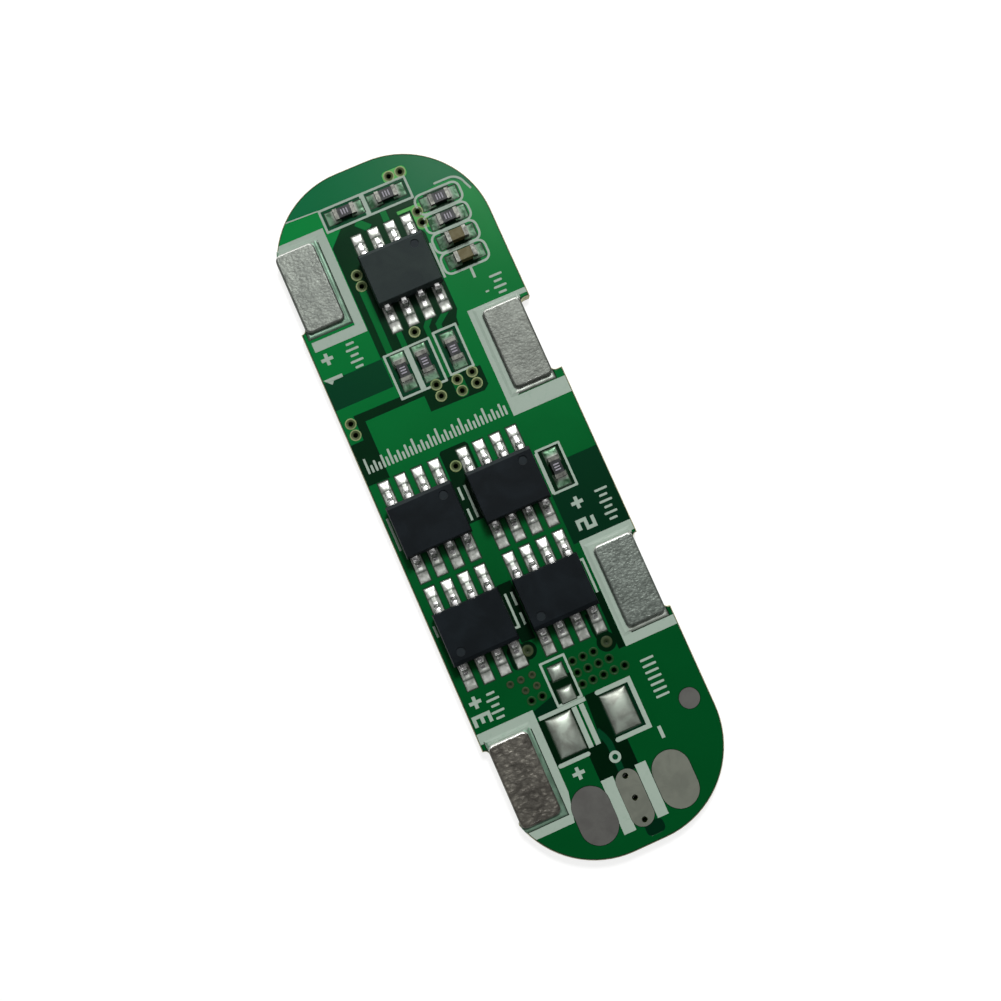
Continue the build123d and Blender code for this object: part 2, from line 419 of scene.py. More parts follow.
def store(made: SceneObject, name: str, values: Iterable[float]) -> None:
    """Keep one number for each vertex as an attribute."""
    attribute = made.data.attributes.new(name, "FLOAT", "POINT")
    attribute.data.foreach_set("value", np.asarray(list(values), np.float32))


def seat(piece: SceneObject, slot: Slot, material: Material, *nodes: str) -> None:
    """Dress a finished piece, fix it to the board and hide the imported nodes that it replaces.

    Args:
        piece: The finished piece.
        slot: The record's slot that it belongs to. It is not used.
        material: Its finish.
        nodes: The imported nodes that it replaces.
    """
    piece.data.materials.clear()
    piece.data.materials.append(material)
    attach(piece, BODY)
    if nodes:
        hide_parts(*nodes)
    LOG.info("%s: %d faces", piece.name, len(piece.data.polygons))


def dress(node: SceneObject, slot: Slot, material: Material) -> None:
    """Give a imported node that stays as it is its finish.

    Args:
        node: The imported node's object.
        slot: The record's slot that it belongs to.
        material: Its finish.
    """
    if not node.material_slots:
        node.data.materials.append(material)
    for held in node.material_slots:
        held.material = material
    LOG.info("%s: packed node, %s", node.name, slot.value)


def softened(node: SceneObject, name: str, edge: float) -> SceneObject:
    """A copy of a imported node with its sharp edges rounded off.

    Args:
        node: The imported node's object.
        name: The new piece's name.
        edge: How far each edge is rounded back, in millimetres.

    Returns:
        The new object, in the node's place.
    """
    copy = welded(node)
    bmesh.ops.dissolve_limit(copy, angle_limit=FLAT_ANGLE, verts=copy.verts, edges=copy.edges)
    sharp = [e for e in copy.edges if len(e.link_faces) == 2 and e.calc_face_angle() > SHARP_ANGLE]
    bmesh.ops.bevel(
        copy, geom=sharp, offset=edge * MM, segments=2, profile=0.5, affect="EDGES", clamp_overlap=True
    )
    bmesh.ops.triangulate(copy, faces=[f for f in copy.faces if len(f.verts) > 4])
    bmesh.ops.recalc_face_normals(copy, faces=copy.faces)
    mesh = bpy.data.meshes.new(name)
    copy.to_mesh(mesh)
    copy.free()
    return linked(name, mesh)


def slab(
    loops: Sequence[np.ndarray], rings: Sequence[Ring], filling: Sequence[Point] = ()
) -> tuple[np.ndarray, list, list[bool]]:
    """A flat solid with shaped edges.

    Args:
        loops: The outer outline and then its holes, with the material on their left.
        rings: The height and the inset of each ring of the edge, from the bottom up.
        filling: Further points that the two flat faces pass through.

    Returns:
        Its vertices, its faces and, for each vertex, whether it lies inside a flat face.
    """
    edges = [[inset_points(loop, inset) for loop in loops] for _, inset in rings]
    points = [(x, y, height) for (height, _), edge in zip(rings, edges) for loop in edge for x, y in loop]
    starts = np.cumsum([0] + [len(loop) for loop in loops])
    count = int(starts[-1])
    faces = []
    for ring in range(len(rings) - 1):
        for start, loop in zip(starts, loops):
            order = [ring * count + int(start) + at for at in range(len(loop))]
            for this, after in zip(order, order[1:] + order[:1]):
                faces.append((this, after, after + count, this + count))
    inner_from = len(points)
    for ring, turn in ((0, -1), (len(rings) - 1, 1)):
        borders = []
        for start, loop in zip(starts, edges[ring]):
            order = list(range(int(start), int(start) + len(loop)))
            borders.append(order if signed_area(loop) > 0 else order[::-1])
        given = [Vector(p) for loop in edges[ring] for p in loop] + [Vector(p) for p in filling]
        _, _, triangles, sources, _, inside = delaunay_2d_cdt(given, [], borders, 0, MAP_SNAP, True)
        first_extra = len(points) - count
        points += [(x, y, rings[ring][0]) for x, y in filling]
        origins = [origin[0] if origin else 0 for origin in sources]
        index = [(ring * count if at < count else first_extra) + at for at in origins]
        faces += [
            tuple(index[v] for v in triangle[::turn])
            for triangle, within in zip(triangles, inside)
            if list(within) == [0]
        ]
    inner = [False] * inner_from + [True] * (len(points) - inner_from)
    return np.array(points), faces, inner


def slab_object(
    name: str, loops: Sequence[np.ndarray], rings: Sequence[Ring], smooth: bool = False
) -> SceneObject:
    """A new object with the form of a slab."""
    points, faces, _ = slab([np.asarray(loop, float) for loop in loops], rings)
    return make_object(name, points, faces, smooth)


def lathed(
    name: str, profile: Sequence[Ring], tones: Sequence[float], steps: int, smooth: bool = True
) -> SceneObject:
    """A solid of revolution about Z, as a new object.

    Args:
        name: The object's name.
        profile: Its closed section: the radius and height of each point.
        tones: The tone of each point of the section.
        steps: How many faces go round it.
        smooth: Whether its faces are shaded smooth.

    Returns:
        The new object, with its tones kept on it.
    """
    points, faces, size = [], [], len(profile)
    for step in range(steps):
        angle = math.tau * step / steps
        points += [(r * math.cos(angle), r * math.sin(angle), z) for r, z in profile]
        this, after = step * size, (step + 1) % steps * size
        for at in range(size):
            up = (at + 1) % size
            faces.append((this + at, after + at, after + up, this + up))
    made = make_object(name, np.array(points), faces, smooth)
    store(made, "tone", list(tones) * steps)
    return made


def height_field(
    xs: np.ndarray, ys: np.ndarray, heights: np.ndarray, floor: float
) -> tuple[np.ndarray, list]:
    """A closed solid under a surface given on a grid.

    Args:
        xs: The grid's places along X.
        ys: The grid's places along Y.
        heights: The surface's height at each place, as rows along Y of columns along X.
        floor: The height of its flat underside.

    Returns:
        Its vertices and faces.
    """
    rows, columns = heights.shape
    grid_x, grid_y = np.meshgrid(xs, ys)
    top = np.column_stack((grid_x.ravel(), grid_y.ravel(), heights.ravel()))
    rim = list(range(columns))
    rim += [r * columns + columns - 1 for r in range(1, rows)]
    rim += [(rows - 1) * columns + c for c in range(columns - 2, -1, -1)]
    rim += [r * columns for r in range(rows - 2, 0, -1)]
    bottom = top[rim].copy()
    bottom[:, 2] = floor
    faces = [
        (r * columns + c, r * columns + c + 1, (r + 1) * columns + c + 1, (r + 1) * columns + c)
        for r in range(rows - 1)
        for c in range(columns - 1)
    ]
    below = len(top)
    for at, index in enumerate(rim):
        after = (at + 1) % len(rim)
        faces.append((below + at, below + after, rim[after], index))
    faces.append(tuple(range(below + len(rim) - 1, below - 1, -1)))
    return np.vstack((top, bottom)), faces


def srgb(red: int, green: int, blue: int) -> Colour:
    """A colour given in the usual steps from 0 to 255, as linear light.

    Args:
        red: The red step.
        green: The green step.
        blue: The blue step.

    Returns:
        The colour, opaque.
    """
    steps = [channel / 255 for channel in (red, green, blue)]
    linear = [c / 12.92 if c <= 0.04045 else ((c + 0.055) / 1.055) ** 2.4 for c in steps]
    return (*linear, 1.0)


class Graph:
    """A node tree, with short ways to add a node, set its inputs and join them."""

    def __init__(self, tree: NodeTree) -> None:
        """Take a node tree to work on."""
        self.tree = tree

    def add(self, kind: str, feeds: dict, out: int | str = 0, **settings: object) -> Socket:
        """Add a node, set it up and give one of its outputs.

        Args:
            kind: The node's type.
            feeds: What goes into its inputs, each under the input's name or number.
            out: The name or number of the output that is wanted.
            settings: The node's own properties.

        Returns:
            The output.
        """
        node = self.tree.nodes.new(kind)
        for name, value in settings.items():
            setattr(node, name, value)
        self.feed(node, feeds)
        return node.outputs[out]

    def feed(self, node: bpy.types.Node, feeds: dict) -> None:
        """Set a node's inputs or join them.

        Args:
            node: The node.
            feeds: For each input a plain value, an output to join, or a list of outputs.
        """
        for name, value in feeds.items():
            sources = value if isinstance(value, list) else [value]
            for source in sources:
                if isinstance(source, Socket):
                    self.tree.links.new(source, node.inputs[name])
                else:
                    node.inputs[name].default_value = source

    def maths(self, kind: str, *values: Socket | float) -> Socket:
        """Work out one number from others."""
        return self.add("ShaderNodeMath", dict(enumerate(values)), operation=kind)

    def scaled(self, vector: Socket, share: Socket | float) -> Socket:
        """A vector or a colour times a number."""
        return self.add("ShaderNodeVectorMath", {0: vector, "Scale": share}, operation="SCALE")

    def axis(self, vector: Socket, name: str) -> Socket:
        """One axis of a vector."""
        return self.add("ShaderNodeSeparateXYZ", {0: vector}, name)

    def place(self) -> Socket:
        """Object coordinates, in metres."""
        return self.add("ShaderNodeTexCoord", {}, "Object")


class ShaderGroups:
    """The effects that more than one finish uses, each a node group built once."""

    def __init__(self) -> None:
        """Build every group."""
        self.noise = self._noise()
        self.blotches = self._blotches()
        self.crinkle = self._crinkle()

    @staticmethod
    def _start(name: str, outputs: Sequence[str], **inputs: float) -> tuple[Graph, object, Socket]:
        """Start a group whose pattern can be stretched along Y.

        Args:
            name: The group's name.
            outputs: The names of the numbers that it gives.
            inputs: The numbers that it takes, with their values.

        Returns:
            The group's graph, the outputs of its input node, and the pattern's place in millimetres.
        """
        graph = Graph(bpy.data.node_groups.new(name, "ShaderNodeTree"))
        face = graph.tree.interface
        for label, value in {**inputs, "Stretch": 1.0}.items():
            face.new_socket(label, in_out="INPUT", socket_type="NodeSocketFloat").default_value = value
        for label in outputs:
            face.new_socket(label, in_out="OUTPUT", socket_type="NodeSocketFloat")
        given = graph.tree.nodes.new("NodeGroupInput").outputs
        where = graph.scaled(graph.place(), 1 / MM)
        along = graph.maths("DIVIDE", graph.axis(where, "Y"), given["Stretch"])
        feeds = {"X": graph.axis(where, "X"), "Y": along, "Z": graph.axis(where, "Z")}
        return graph, given, graph.add("ShaderNodeCombineXYZ", feeds)

    @staticmethod
    def _end(graph: Graph, **results: Socket) -> NodeTree:
        """Join what a group gives and hand over its tree."""
        graph.feed(graph.tree.nodes.new("NodeGroupOutput"), results)
        return graph.tree

    def _noise(self) -> NodeTree:
        """Fine noise by its number of grains per millimetre.

        Returns:
            The group's tree.
        """
        graph, given, place = self._start("fine_noise", ["Value"], Grains=10.0, Detail=3.0, Roughness=0.55)
        feeds = {"Vector": place, "Scale": given["Grains"]}
        feeds |= {"Detail": given["Detail"], "Roughness": given["Roughness"]}
        return self._end(graph, Value=graph.add("ShaderNodeTexNoise", feeds))

    def _blotches(self) -> NodeTree:
        """Soft patches that cover more or less of the surface.

        Returns:
            The group's tree.
        """
        graph, given, place = self._start("blotches", ["Mask"], Grains=1.0, From=0.4, To=0.6)
        feeds = {"Vector": place, "Scale": given["Grains"], "Detail": 5.0, "Distortion": 0.6}
        cloud = graph.add("ShaderNodeTexNoise", feeds)
        feeds = {"Value": cloud, "From Min": given["From"], "From Max": given["To"]}
        return self._end(graph, Mask=graph.add("ShaderNodeMapRange", feeds, interpolation_type="SMOOTHSTEP"))

    def _crinkle(self) -> NodeTree:
        """The worm-like wrinkles of a strip pressed by textured rollers.

        Returns:
            The group's tree.
        """
        graph, given, place = self._start("crinkle", ["Height", "Mask"], Grains=6.0, Warp=0.25)
        drift = graph.add("ShaderNodeTexNoise", {"Vector": place, "Scale": 4.0, "Detail": 2.0}, "Color")
        amount = graph.add("ShaderNodeCombineXYZ", dict.fromkeys("XYZ", given["Warp"]))
        pushed = graph.add("ShaderNodeVectorMath", {0: drift, 1: amount, 2: place}, operation="MULTIPLY_ADD")
        feeds = {"Vector": pushed, "Scale": given["Grains"], "Smoothness": 0.6}
        cells = graph.add("ShaderNodeTexVoronoi", feeds, "Distance", feature="SMOOTH_F1")
        feeds = {"Value": cells, "From Min": 0.15, "From Max": 0.65}
        mask = graph.add("ShaderNodeMapRange", feeds, interpolation_type="SMOOTHSTEP")
        return self._end(graph, Height=cells, Mask=mask)


class Shading(Graph):
    """One material: a Principled shader and what feeds it."""

    MIX_FIRST, MIX_SECOND, MIX_RESULT = 6, 7, 2

    def __init__(self, name: str) -> None:
        """Start a material that holds one Principled shader.

        Args:
            name: The material's name.
        """
        self.material = bpy.data.materials.new(name)
        self.material.use_nodes = True
        super().__init__(self.material.node_tree)
        self.tree.nodes.clear()
        self.surface = self.tree.nodes.new("ShaderNodeBsdfPrincipled")
        self.feed(self.tree.nodes.new("ShaderNodeOutputMaterial"), {"Surface": self.surface.outputs["BSDF"]})

    def group(self, tree: NodeTree, output: str, **values: float) -> Socket:
        """Place a shared effect with its own values and give one of its outputs."""
        return self.add("ShaderNodeGroup", values, output, node_tree=tree)

    def attribute(self, name: str) -> Socket:
        """A number kept on the piece's vertices."""
        return self.add("ShaderNodeAttribute", {}, "Fac", attribute_name=name)

    def ramp(self, source: Socket, stops: Sequence[tuple[float, Colour]]) -> Socket:
        """A colour for each value of a number from 0 to 1.

        Args:
            source: The number.
            stops: Where each colour stands, and the colour.

        Returns:
            The colour's output.
        """
        node = self.tree.nodes.new("ShaderNodeValToRGB")
        elements = node.color_ramp.elements
        while len(elements) < len(stops):
            elements.new(0.5)
        for element, (place, colour) in zip(elements, stops):
            element.position, element.color = place, colour
        self.feed(node, {"Fac": source})
        return node.outputs["Color"]

    def mix(self, factor: Socket, first: Socket | Colour, second: Socket | Colour) -> Socket:
        """Blend two colours by a number from 0 to 1."""
        feeds = {"Factor": factor, self.MIX_FIRST: first, self.MIX_SECOND: second}
        return self.add("ShaderNodeMix", feeds, self.MIX_RESULT, data_type="RGBA")

    def spread(self, source: Socket, low: float, high: float, begin: float = 0.0, end: float = 1.0) -> Socket:
        """Map a number between two others onto a new span."""
        feeds = {"Value": source, "From Min": begin, "From Max": end, "To Min": low, "To Max": high}
        return self.add("ShaderNodeMapRange", feeds)

    def facing(self, axis: str, kind: str = "True Normal") -> Socket:
        """How far the surface faces along one axis, from -1 to 1, by its flat or its smooth normal."""
        return self.axis(self.add("ShaderNodeNewGeometry", {}, kind), axis)

    def steepness(self, axis: str, kind: str = "True Normal") -> Socket:
        """How far the surface faces along one axis, to either side, from 0 to 1."""
        return self.maths("ABSOLUTE", self.facing(axis, kind))

    def along(self, axis: str) -> Socket:
        """The place along one axis, in millimetres."""
        return self.maths("MULTIPLY", self.axis(self.place(), axis), 1 / MM)

    def finished(
        self, colour: Socket, roughness: Socket, relief: Socket, depth: float, **numbers: float
    ) -> Material:
        """Feed the shader and hand over the material.

        Args:
            colour: The base colour.
            roughness: The roughness.
            relief: A height from 0 to 1.
            depth: The relief's depth in millimetres.
            numbers: Plain numbers for the shader's own inputs, with underscores for spaces.

        Returns:
            The material.
        """
        normal = self.add("ShaderNodeBump", {"Strength": 1.0, "Distance": depth * MM, "Height": relief})
        feeds = {name.replace("_", " "): value for name, value in numbers.items()}
        self.feed(self.surface, feeds | {"Base Color": colour, "Roughness": roughness, "Normal": normal})
        return self.material


@dataclass(frozen=True)
class MaskFinish:
    """Green mask over copper, and darker over bare laminate, with painted shade that darkens it towards the
    tail.
    """

    deep: Colour = srgb(6, 36, 19)
    bare: Colour = srgb(7, 59, 37)
    teal: Colour = srgb(13, 95, 57)
    track: Colour = srgb(8, 102, 47)
    copper: Colour = srgb(7, 118, 54)
    pad: Colour = srgb(86, 164, 84)
    cloud: Colour = srgb(4, 80, 30)
    speck: Colour = srgb(20, 130, 70)
    # Painted shade: the share of the colour that is left at the tail end.
    painted_tail_light: float = 0.4
    tail: float = -6.0
    head: float = 23.0

    def build(self, groups: ShaderGroups) -> Material:
        """Make the material.

        Args:
            groups: The shared effects.

        Returns:
            The material.
        """
        sheet = Shading("green_mask")
        stops = [(0.0, self.deep), (0.23, self.bare), (0.42, self.teal), (0.65, self.track)]
        stops += [(0.77, self.copper), (1.0, self.pad)]
        colour = sheet.ramp(sheet.maths("DIVIDE", sheet.attribute("tone"), Cover.PAD.value.tone), stops)
        cloud = sheet.group(groups.blotches, "Mask", Grains=0.22, From=0.3, To=0.7)
        colour = sheet.mix(sheet.spread(cloud, 0.0, 0.12), colour, self.cloud)
        fine = sheet.group(groups.noise, "Value", Grains=9.0, Detail=4.0)
        colour = sheet.mix(sheet.spread(fine, 0.0, 0.06), colour, self.speck)
        # Painted shade: the colour is scaled from full at the head down to a share of it at the tail.
        light = sheet.spread(sheet.along("Y"), self.painted_tail_light, 1.0, self.tail, self.head)
        gloss = sheet.spread(fine, 0.18, 0.26)
        return sheet.finished(sheet.scaled(colour, light), gloss, fine, 0.0015, Specular_IOR_Level=0.02)


@dataclass(frozen=True)
class LaminateFinish:
    """Glass cloth and resin: pale where it was cut, olive where its face shows."""

    cut: Colour = srgb(188, 186, 150)
    fibre: Colour = srgb(150, 148, 104)
    face: Colour = srgb(24, 44, 24)
    layer: float = 0.07

    def build(self, groups: ShaderGroups) -> Material:
        """Make the material.

        Args:
            groups: The shared effects.

        Returns:
            The material.
        """
        sheet = Shading("glass_laminate")
        level = sheet.spread(sheet.steepness("Z"), 0.0, 1.0, 0.93, 0.97)
        layers = sheet.maths("PINGPONG", sheet.along("Z"), self.layer)
        bands = sheet.spread(layers, 0.0, 1.0, 0.0, self.layer)
        threads = sheet.group(groups.noise, "Value", Grains=6.0, Detail=5.0)
        woven = sheet.mix(sheet.maths("MULTIPLY", bands, threads), self.cut, self.fibre)
        colour = sheet.mix(level, woven, self.face)
        return sheet.finished(colour, sheet.spread(threads, 0.55, 0.8), threads, 0.02)


@dataclass(frozen=True)
class InkFinish:
    """White screen-printed ink, a little thin in places, with painted light that lightens it towards the tail
    and darkens it towards the head.
    """

    name: str = "print_ink"
    ink: Colour = srgb(152, 168, 155)
    thin: Colour = srgb(134, 158, 140)
    # Painted light: the share of the ink's colour at the tail and at the head.
    painted_tail_light: float = 1.14
    painted_head_light: float = 0.86
    reach: float = 22.0

    def build(self, groups: ShaderGroups) -> Material:
        """Make the material.

        Args:
            groups: The shared effects.

        Returns:
            The material.
        """
        sheet = Shading(self.name)
        fine = sheet.group(groups.noise, "Value", Grains=14.0, Detail=3.0)
        worn = sheet.group(groups.blotches, "Mask", Grains=3.0, From=0.5, To=0.8)
        # Painted light: the ink is scaled up towards the tail and down towards the head.
        light = sheet.spread(sheet.along("Y"), self.painted_tail_light, self.painted_head_light, -self.reach, self.reach)
        colour = sheet.scaled(sheet.mix(sheet.spread(worn, 0.0, 0.5), self.ink, self.thin), light)
        return sheet.finished(colour, sheet.spread(fine, 0.5, 0.7), fine, 0.006, Specular_IOR_Level=0.3)


@dataclass(frozen=True)
class NickelFinish:
    """Nickel strip with a fine crinkle rolled into it, with a painted highlight along the edge that faces the
    light.
    """

    name: str
    light: Colour
    dark: Colour
    roughness: float
    relief: float
    grains: float
    # The colour of the painted highlight on the edge that faces the light.
    edge: Colour = srgb(238, 239, 233)
    stretch: float = 0.75

    def build(self, groups: ShaderGroups) -> Material:
        """Make the material.

        Args:
            groups: The shared effects.

        Returns:
            The material.
        """
        sheet = Shading(self.name)
        rolled = {"Grains": self.grains, "Warp": 0.3, "Stretch": self.stretch}
        wrinkles, mask = (sheet.group(groups.crinkle, output, **rolled) for output in ("Height", "Mask"))
        fine = sheet.group(groups.noise, "Value", Grains=16.0, Detail=4.0)
        patches = sheet.group(groups.blotches, "Mask", Grains=0.9, From=0.35, To=0.65)
        blend = sheet.maths("ADD", sheet.spread(mask, 0.0, 0.55), sheet.spread(patches, 0.0, 0.45))
        # Painted highlight: faces that turn towards +Y, the strip's bevel on its lit side, are mixed towards
        # the pale edge colour.
        lit_edge = sheet.spread(sheet.facing("Y"), 0.0, 1.0, 0.22, 0.36)
        colour = sheet.mix(lit_edge, sheet.mix(blend, self.light, self.dark), self.edge)
        gloss = sheet.spread(fine, self.roughness - 0.08, self.roughness + 0.12)
        height = sheet.maths("ADD", wrinkles, sheet.maths("MULTIPLY", fine, 0.35))
        return sheet.finished(colour, gloss, height, self.relief, Metallic=0.7)


class PaintedLight(Enum):
    """Where a metal carries painted light, in its second tone."""

    NOWHERE = "nowhere"
    SLOPE = "where it is steep along Y"
    BAND = "where its own band attribute says"


@dataclass(frozen=True)
class MetalFinish:
    """Tin or solder: a bright metal whose gloss changes from place to place, with painted shade and painted
    highlights in a second tone.
    """

    name: str
    light: Colour
    dark: Colour
    smooth: float
    rough: float
    grains: float
    relief: float
    metallic: float
    # Painted light: where the second tone is laid, the tone, dark for painted shade and pale for a painted
    # highlight, and its strongest share.
    stain_and_painted_light: PaintedLight = PaintedLight.NOWHERE
    painted_tone: Colour = srgb(26, 34, 28)
    painted_share: float = 0.92

    def build(self, groups: ShaderGroups) -> Material:
        """Make the material.

        Args:
            groups: The shared effects.

        Returns:
            The material.
        """
        sheet = Shading(self.name)
        patches = sheet.group(groups.blotches, "Mask", Grains=self.grains * 0.4, From=0.38, To=0.66)
        fine = sheet.group(groups.noise, "Value", Grains=self.grains, Detail=4.0)
        colour = sheet.mix(patches, self.light, self.dark)
        # Painted shade: steep slopes along Y, the risers and the edges of the leads, take the second tone.
        if self.stain_and_painted_light is PaintedLight.SLOPE:
            steep = sheet.spread(sheet.steepness("Y", "Normal"), 0.0, self.painted_share, 0.6, 0.92)
            colour = sheet.mix(steep, colour, self.painted_tone)
        # Painted light: the band attribute lays the second tone, shade at a foot's toe and a highlight beside
        # an end cap.
        if self.stain_and_painted_light is PaintedLight.BAND:
            band = sheet.spread(sheet.attribute("band"), 0.0, self.painted_share)
            colour = sheet.mix(band, colour, self.painted_tone)
        gloss = sheet.spread(fine, self.smooth, self.rough, 0.3, 0.7)
        return sheet.finished(colour, gloss, fine, self.relief, Metallic=self.metallic)


@dataclass(frozen=True)
class CompoundFinish:
    """Moulding compound: near black, finely pitted, with a painted highlight on its edges that face +Y and a
    painted glint in its dimple.
    """

    name: str
    body: Colour
    haze: Colour
    # The colour of the painted highlight on the edges that face +Y.
    edge: Colour = srgb(78, 84, 84)
    # The colour of the painted glint in the dimple.
    dimple: Colour = srgb(35, 41, 44)

    def build(self, groups: ShaderGroups) -> Material:
        """Make the material.

        Args:
            groups: The shared effects.

        Returns:
            The material.
        """
        sheet = Shading(self.name)
        pits = sheet.group(groups.noise, "Value", Grains=18.0, Detail=3.0, Roughness=0.7)
        haze = sheet.group(groups.blotches, "Mask", Grains=0.5, From=0.35, To=0.75)
        slope = sheet.steepness("Z")
        rise, fall = sheet.spread(slope, 0.0, 1.0, 0.3, 0.5), sheet.spread(slope, 1.0, 0.0, 0.9, 0.97)
        sloped = sheet.maths("MULTIPLY", rise, fall)
        # Painted highlight: sloped faces that turn towards +Y take the edge colour, broken up by the pits.
        lit_edge = sheet.maths("MULTIPLY", sloped, sheet.spread(sheet.facing("Y"), 0.0, 1.0, -0.1, 0.3))
        lit_edge = sheet.maths("MULTIPLY", lit_edge, sheet.spread(pits, 0.1, 0.5))
        colour = sheet.mix(lit_edge, sheet.mix(haze, self.body, self.haze), self.edge)
        # Painted glint: the flat floor of the dimple takes the dimple colour.
        top = node_box("controller_body").high.z
        sunk = sheet.spread(sheet.along("Z"), 1.0, 0.0, top - 0.025, top - 0.01)
        sunk = sheet.maths("MULTIPLY", sunk, sheet.spread(sheet.facing("Z"), 0.0, 1.0, 0.97, 0.99))
        colour = sheet.mix(sunk, colour, self.dimple)
        return sheet.finished(colour, sheet.spread(pits, 0.4, 0.6), pits, 0.012, Specular_IOR_Level=0.05)


@dataclass(frozen=True)
class ChipFinish:
    """The middle of a chip part: glaze or fired ceramic, with a paler veil on its upper face."""

    name: str
    body: Colour
    veil: Colour
    share: float
    gloss: float

    def build(self, groups: ShaderGroups) -> Material:
        """Make the material.

        Args:
            groups: The shared effects.

        Returns:
            The material.
        """
        sheet = Shading(self.name)
        soft = sheet.group(groups.blotches, "Mask", Grains=2.2, From=0.4, To=0.62)
        fine = sheet.group(groups.noise, "Value", Grains=12.0, Detail=3.0)
        upward = sheet.spread(sheet.facing("Z"), 0.0, 1.0, 0.6, 0.95)
        veil = sheet.maths("MULTIPLY", sheet.spread(soft, self.share * 0.35, self.share), upward)
        colour = sheet.mix(veil, self.body, self.veil)
        gloss = sheet.spread(fine, self.gloss, self.gloss + 0.2)
        return sheet.finished(colour, gloss, fine, 0.008, Specular_IOR_Level=0.12)


@dataclass(frozen=True)
class RingFinish:
    """The rim round a via, pale on its crown, with painted shade down the hole."""

    name: str = "via_rim"
    crown: Colour = srgb(138, 150, 104)
    stain_and_painted_light: Colour = srgb(84, 108, 62)
    # Painted shade: the colour of the barrel and the hole's edge.
    hole: Colour = srgb(24, 36, 14)

    def build(self, groups: ShaderGroups) -> Material:
        """Make the material.

        Args:
            groups: The shared effects.

        Returns:
            The material.
        """
        sheet = Shading(self.name)
        fine = sheet.group(groups.noise, "Value", Grains=12.0, Detail=3.0)
        stained = sheet.group(groups.blotches, "Mask", Grains=0.7, From=0.35, To=0.7)
        crown = sheet.mix(sheet.spread(stained, 0.0, 0.6), self.crown, self.stain_and_painted_light)
        # The tone attribute runs from the hole's painted shade to the crown.
        colour = sheet.mix(sheet.attribute("tone"), self.hole, crown)
        return sheet.finished(colour, sheet.spread(fine, 0.35, 0.55), fine, 0.006, Specular_IOR_Level=0.12)


class Finishes:
    """Every material of the board, made once."""

    def __init__(self) -> None:
        """Build the shared groups and then the materials."""
        self.groups = ShaderGroups()
        self.mask = MaskFinish().build(self.groups)
        self.laminate = LaminateFinish().build(self.groups)
        self.ink = InkFinish().build(self.groups)
        self.bar_ink = InkFinish("bar_ink", srgb(150, 146, 156), srgb(104, 100, 112)).build(self.groups)
        self.nickel = self._nickels()
        self.metals = self._metals()
        self.controller = self._compound("controller_compound", srgb(36, 44, 44), srgb(42, 51, 49))
        self.transistor = self._compound("transistor_compound", srgb(16, 21, 24), srgb(23, 29, 33))
        glaze = ChipFinish("resistor_glaze", srgb(28, 30, 31), srgb(70, 72, 73), 0.5, 0.3)
        ceramic = ChipFinish("capacitor_ceramic", srgb(84, 77, 49), srgb(102, 97, 71), 0.8, 0.45)
        dark_via = RingFinish("tail_via_rim", srgb(32, 70, 32), srgb(16, 60, 26), srgb(14, 44, 14))
        closed_via = RingFinish("closed_via_rim", srgb(68, 78, 50), srgb(44, 64, 38), srgb(8, 24, 8))
        self.glaze, self.ceramic = glaze.build(self.groups), ceramic.build(self.groups)
        self.via, self.dark_via = RingFinish().build(self.groups), dark_via.build(self.groups)
        self.closed_via = closed_via.build(self.groups)

    def _compound(self, name: str, body: Colour, haze: Colour) -> Material:
        """The moulding compound of one kind of package."""
        return CompoundFinish(name, body, haze).build(self.groups)

    def _nickels(self) -> dict[str, Material]:
        """The nickel of each tab, as bright or as tarnished as it shows.

        Returns:
            Each tab's material, under the tab's name.
        """
        rows = [
            ("first_cell_positive", "bright", (115, 120, 113), (89, 93, 88), 0.46, 0.013, 5.0),
            ("first_cell_negative", "dull", (102, 106, 100), (80, 83, 78), 0.47, 0.01, 5.0),
            ("second_cell_positive", "grey", (122, 130, 123), (88, 95, 89), 0.44, 0.015, 4.6),
            ("third_cell_positive", "tarnished", (120, 117, 108), (76, 73, 67), 0.42, 0.036, 2.6),
        ]
        return {
            f"{tab}_tab": NickelFinish(f"{kind}_nickel", srgb(*light), srgb(*dark), *rest).build(self.groups)
            for tab, kind, light, dark, *rest in rows
        }

    def _metals(self) -> dict[str, Material]:
        """The tin, the kinds of solder and the end caps.

        Returns:
            Each material, under its name.
        """
        # Painted shade on the leads' steep slopes and at the toe of each foot, and a painted highlight on the
        # chip solder next to each end cap.
        steep = (PaintedLight.SLOPE, srgb(34, 42, 36), 0.8)
        foot = (PaintedLight.BAND, srgb(24, 52, 34), 1.0)
        bank = (PaintedLight.BAND, srgb(206, 212, 202))
        rows = {
            "tinned_lead": (srgb(226, 226, 224), srgb(196, 195, 194), 0.17, 0.29, 4.0, 0.001, 0.85, *steep),
            "solder": (srgb(222, 225, 218), srgb(178, 183, 174), 0.28, 0.46, 5.0, 0.003, 0.6, *foot),
            "pillow_solder": (srgb(172, 182, 170), srgb(142, 146, 137), 0.4, 0.54, 2.2, 0.004, 0.75),
            # Painted reflection: the chip solder is tinted green, as if it mirrored the mask round it.
            "chip_solder": (srgb(146, 188, 156), srgb(66, 108, 76), 0.3, 0.5, 6.0, 0.01, 0.6, *bank),
            "rim_solder": (srgb(156, 162, 154), srgb(128, 136, 126), 0.4, 0.55, 2.5, 0.004, 0.55),
            "flux_stained_rim": (srgb(110, 140, 120), srgb(88, 116, 97), 0.4, 0.55, 2.5, 0.004, 0.4),
            "dull_tin": (srgb(124, 128, 116), srgb(114, 118, 107), 0.46, 0.6, 2.0, 0.003, 0.5),
            "stained_tin": (srgb(99, 99, 95), srgb(92, 91, 88), 0.46, 0.6, 2.0, 0.003, 0.5),
            "end_cap": (srgb(94, 95, 89), srgb(60, 61, 57), 0.38, 0.56, 6.0, 0.004, 0.7),
        }
        return {name: MetalFinish(name, *row).build(self.groups) for name, row in rows.items()}


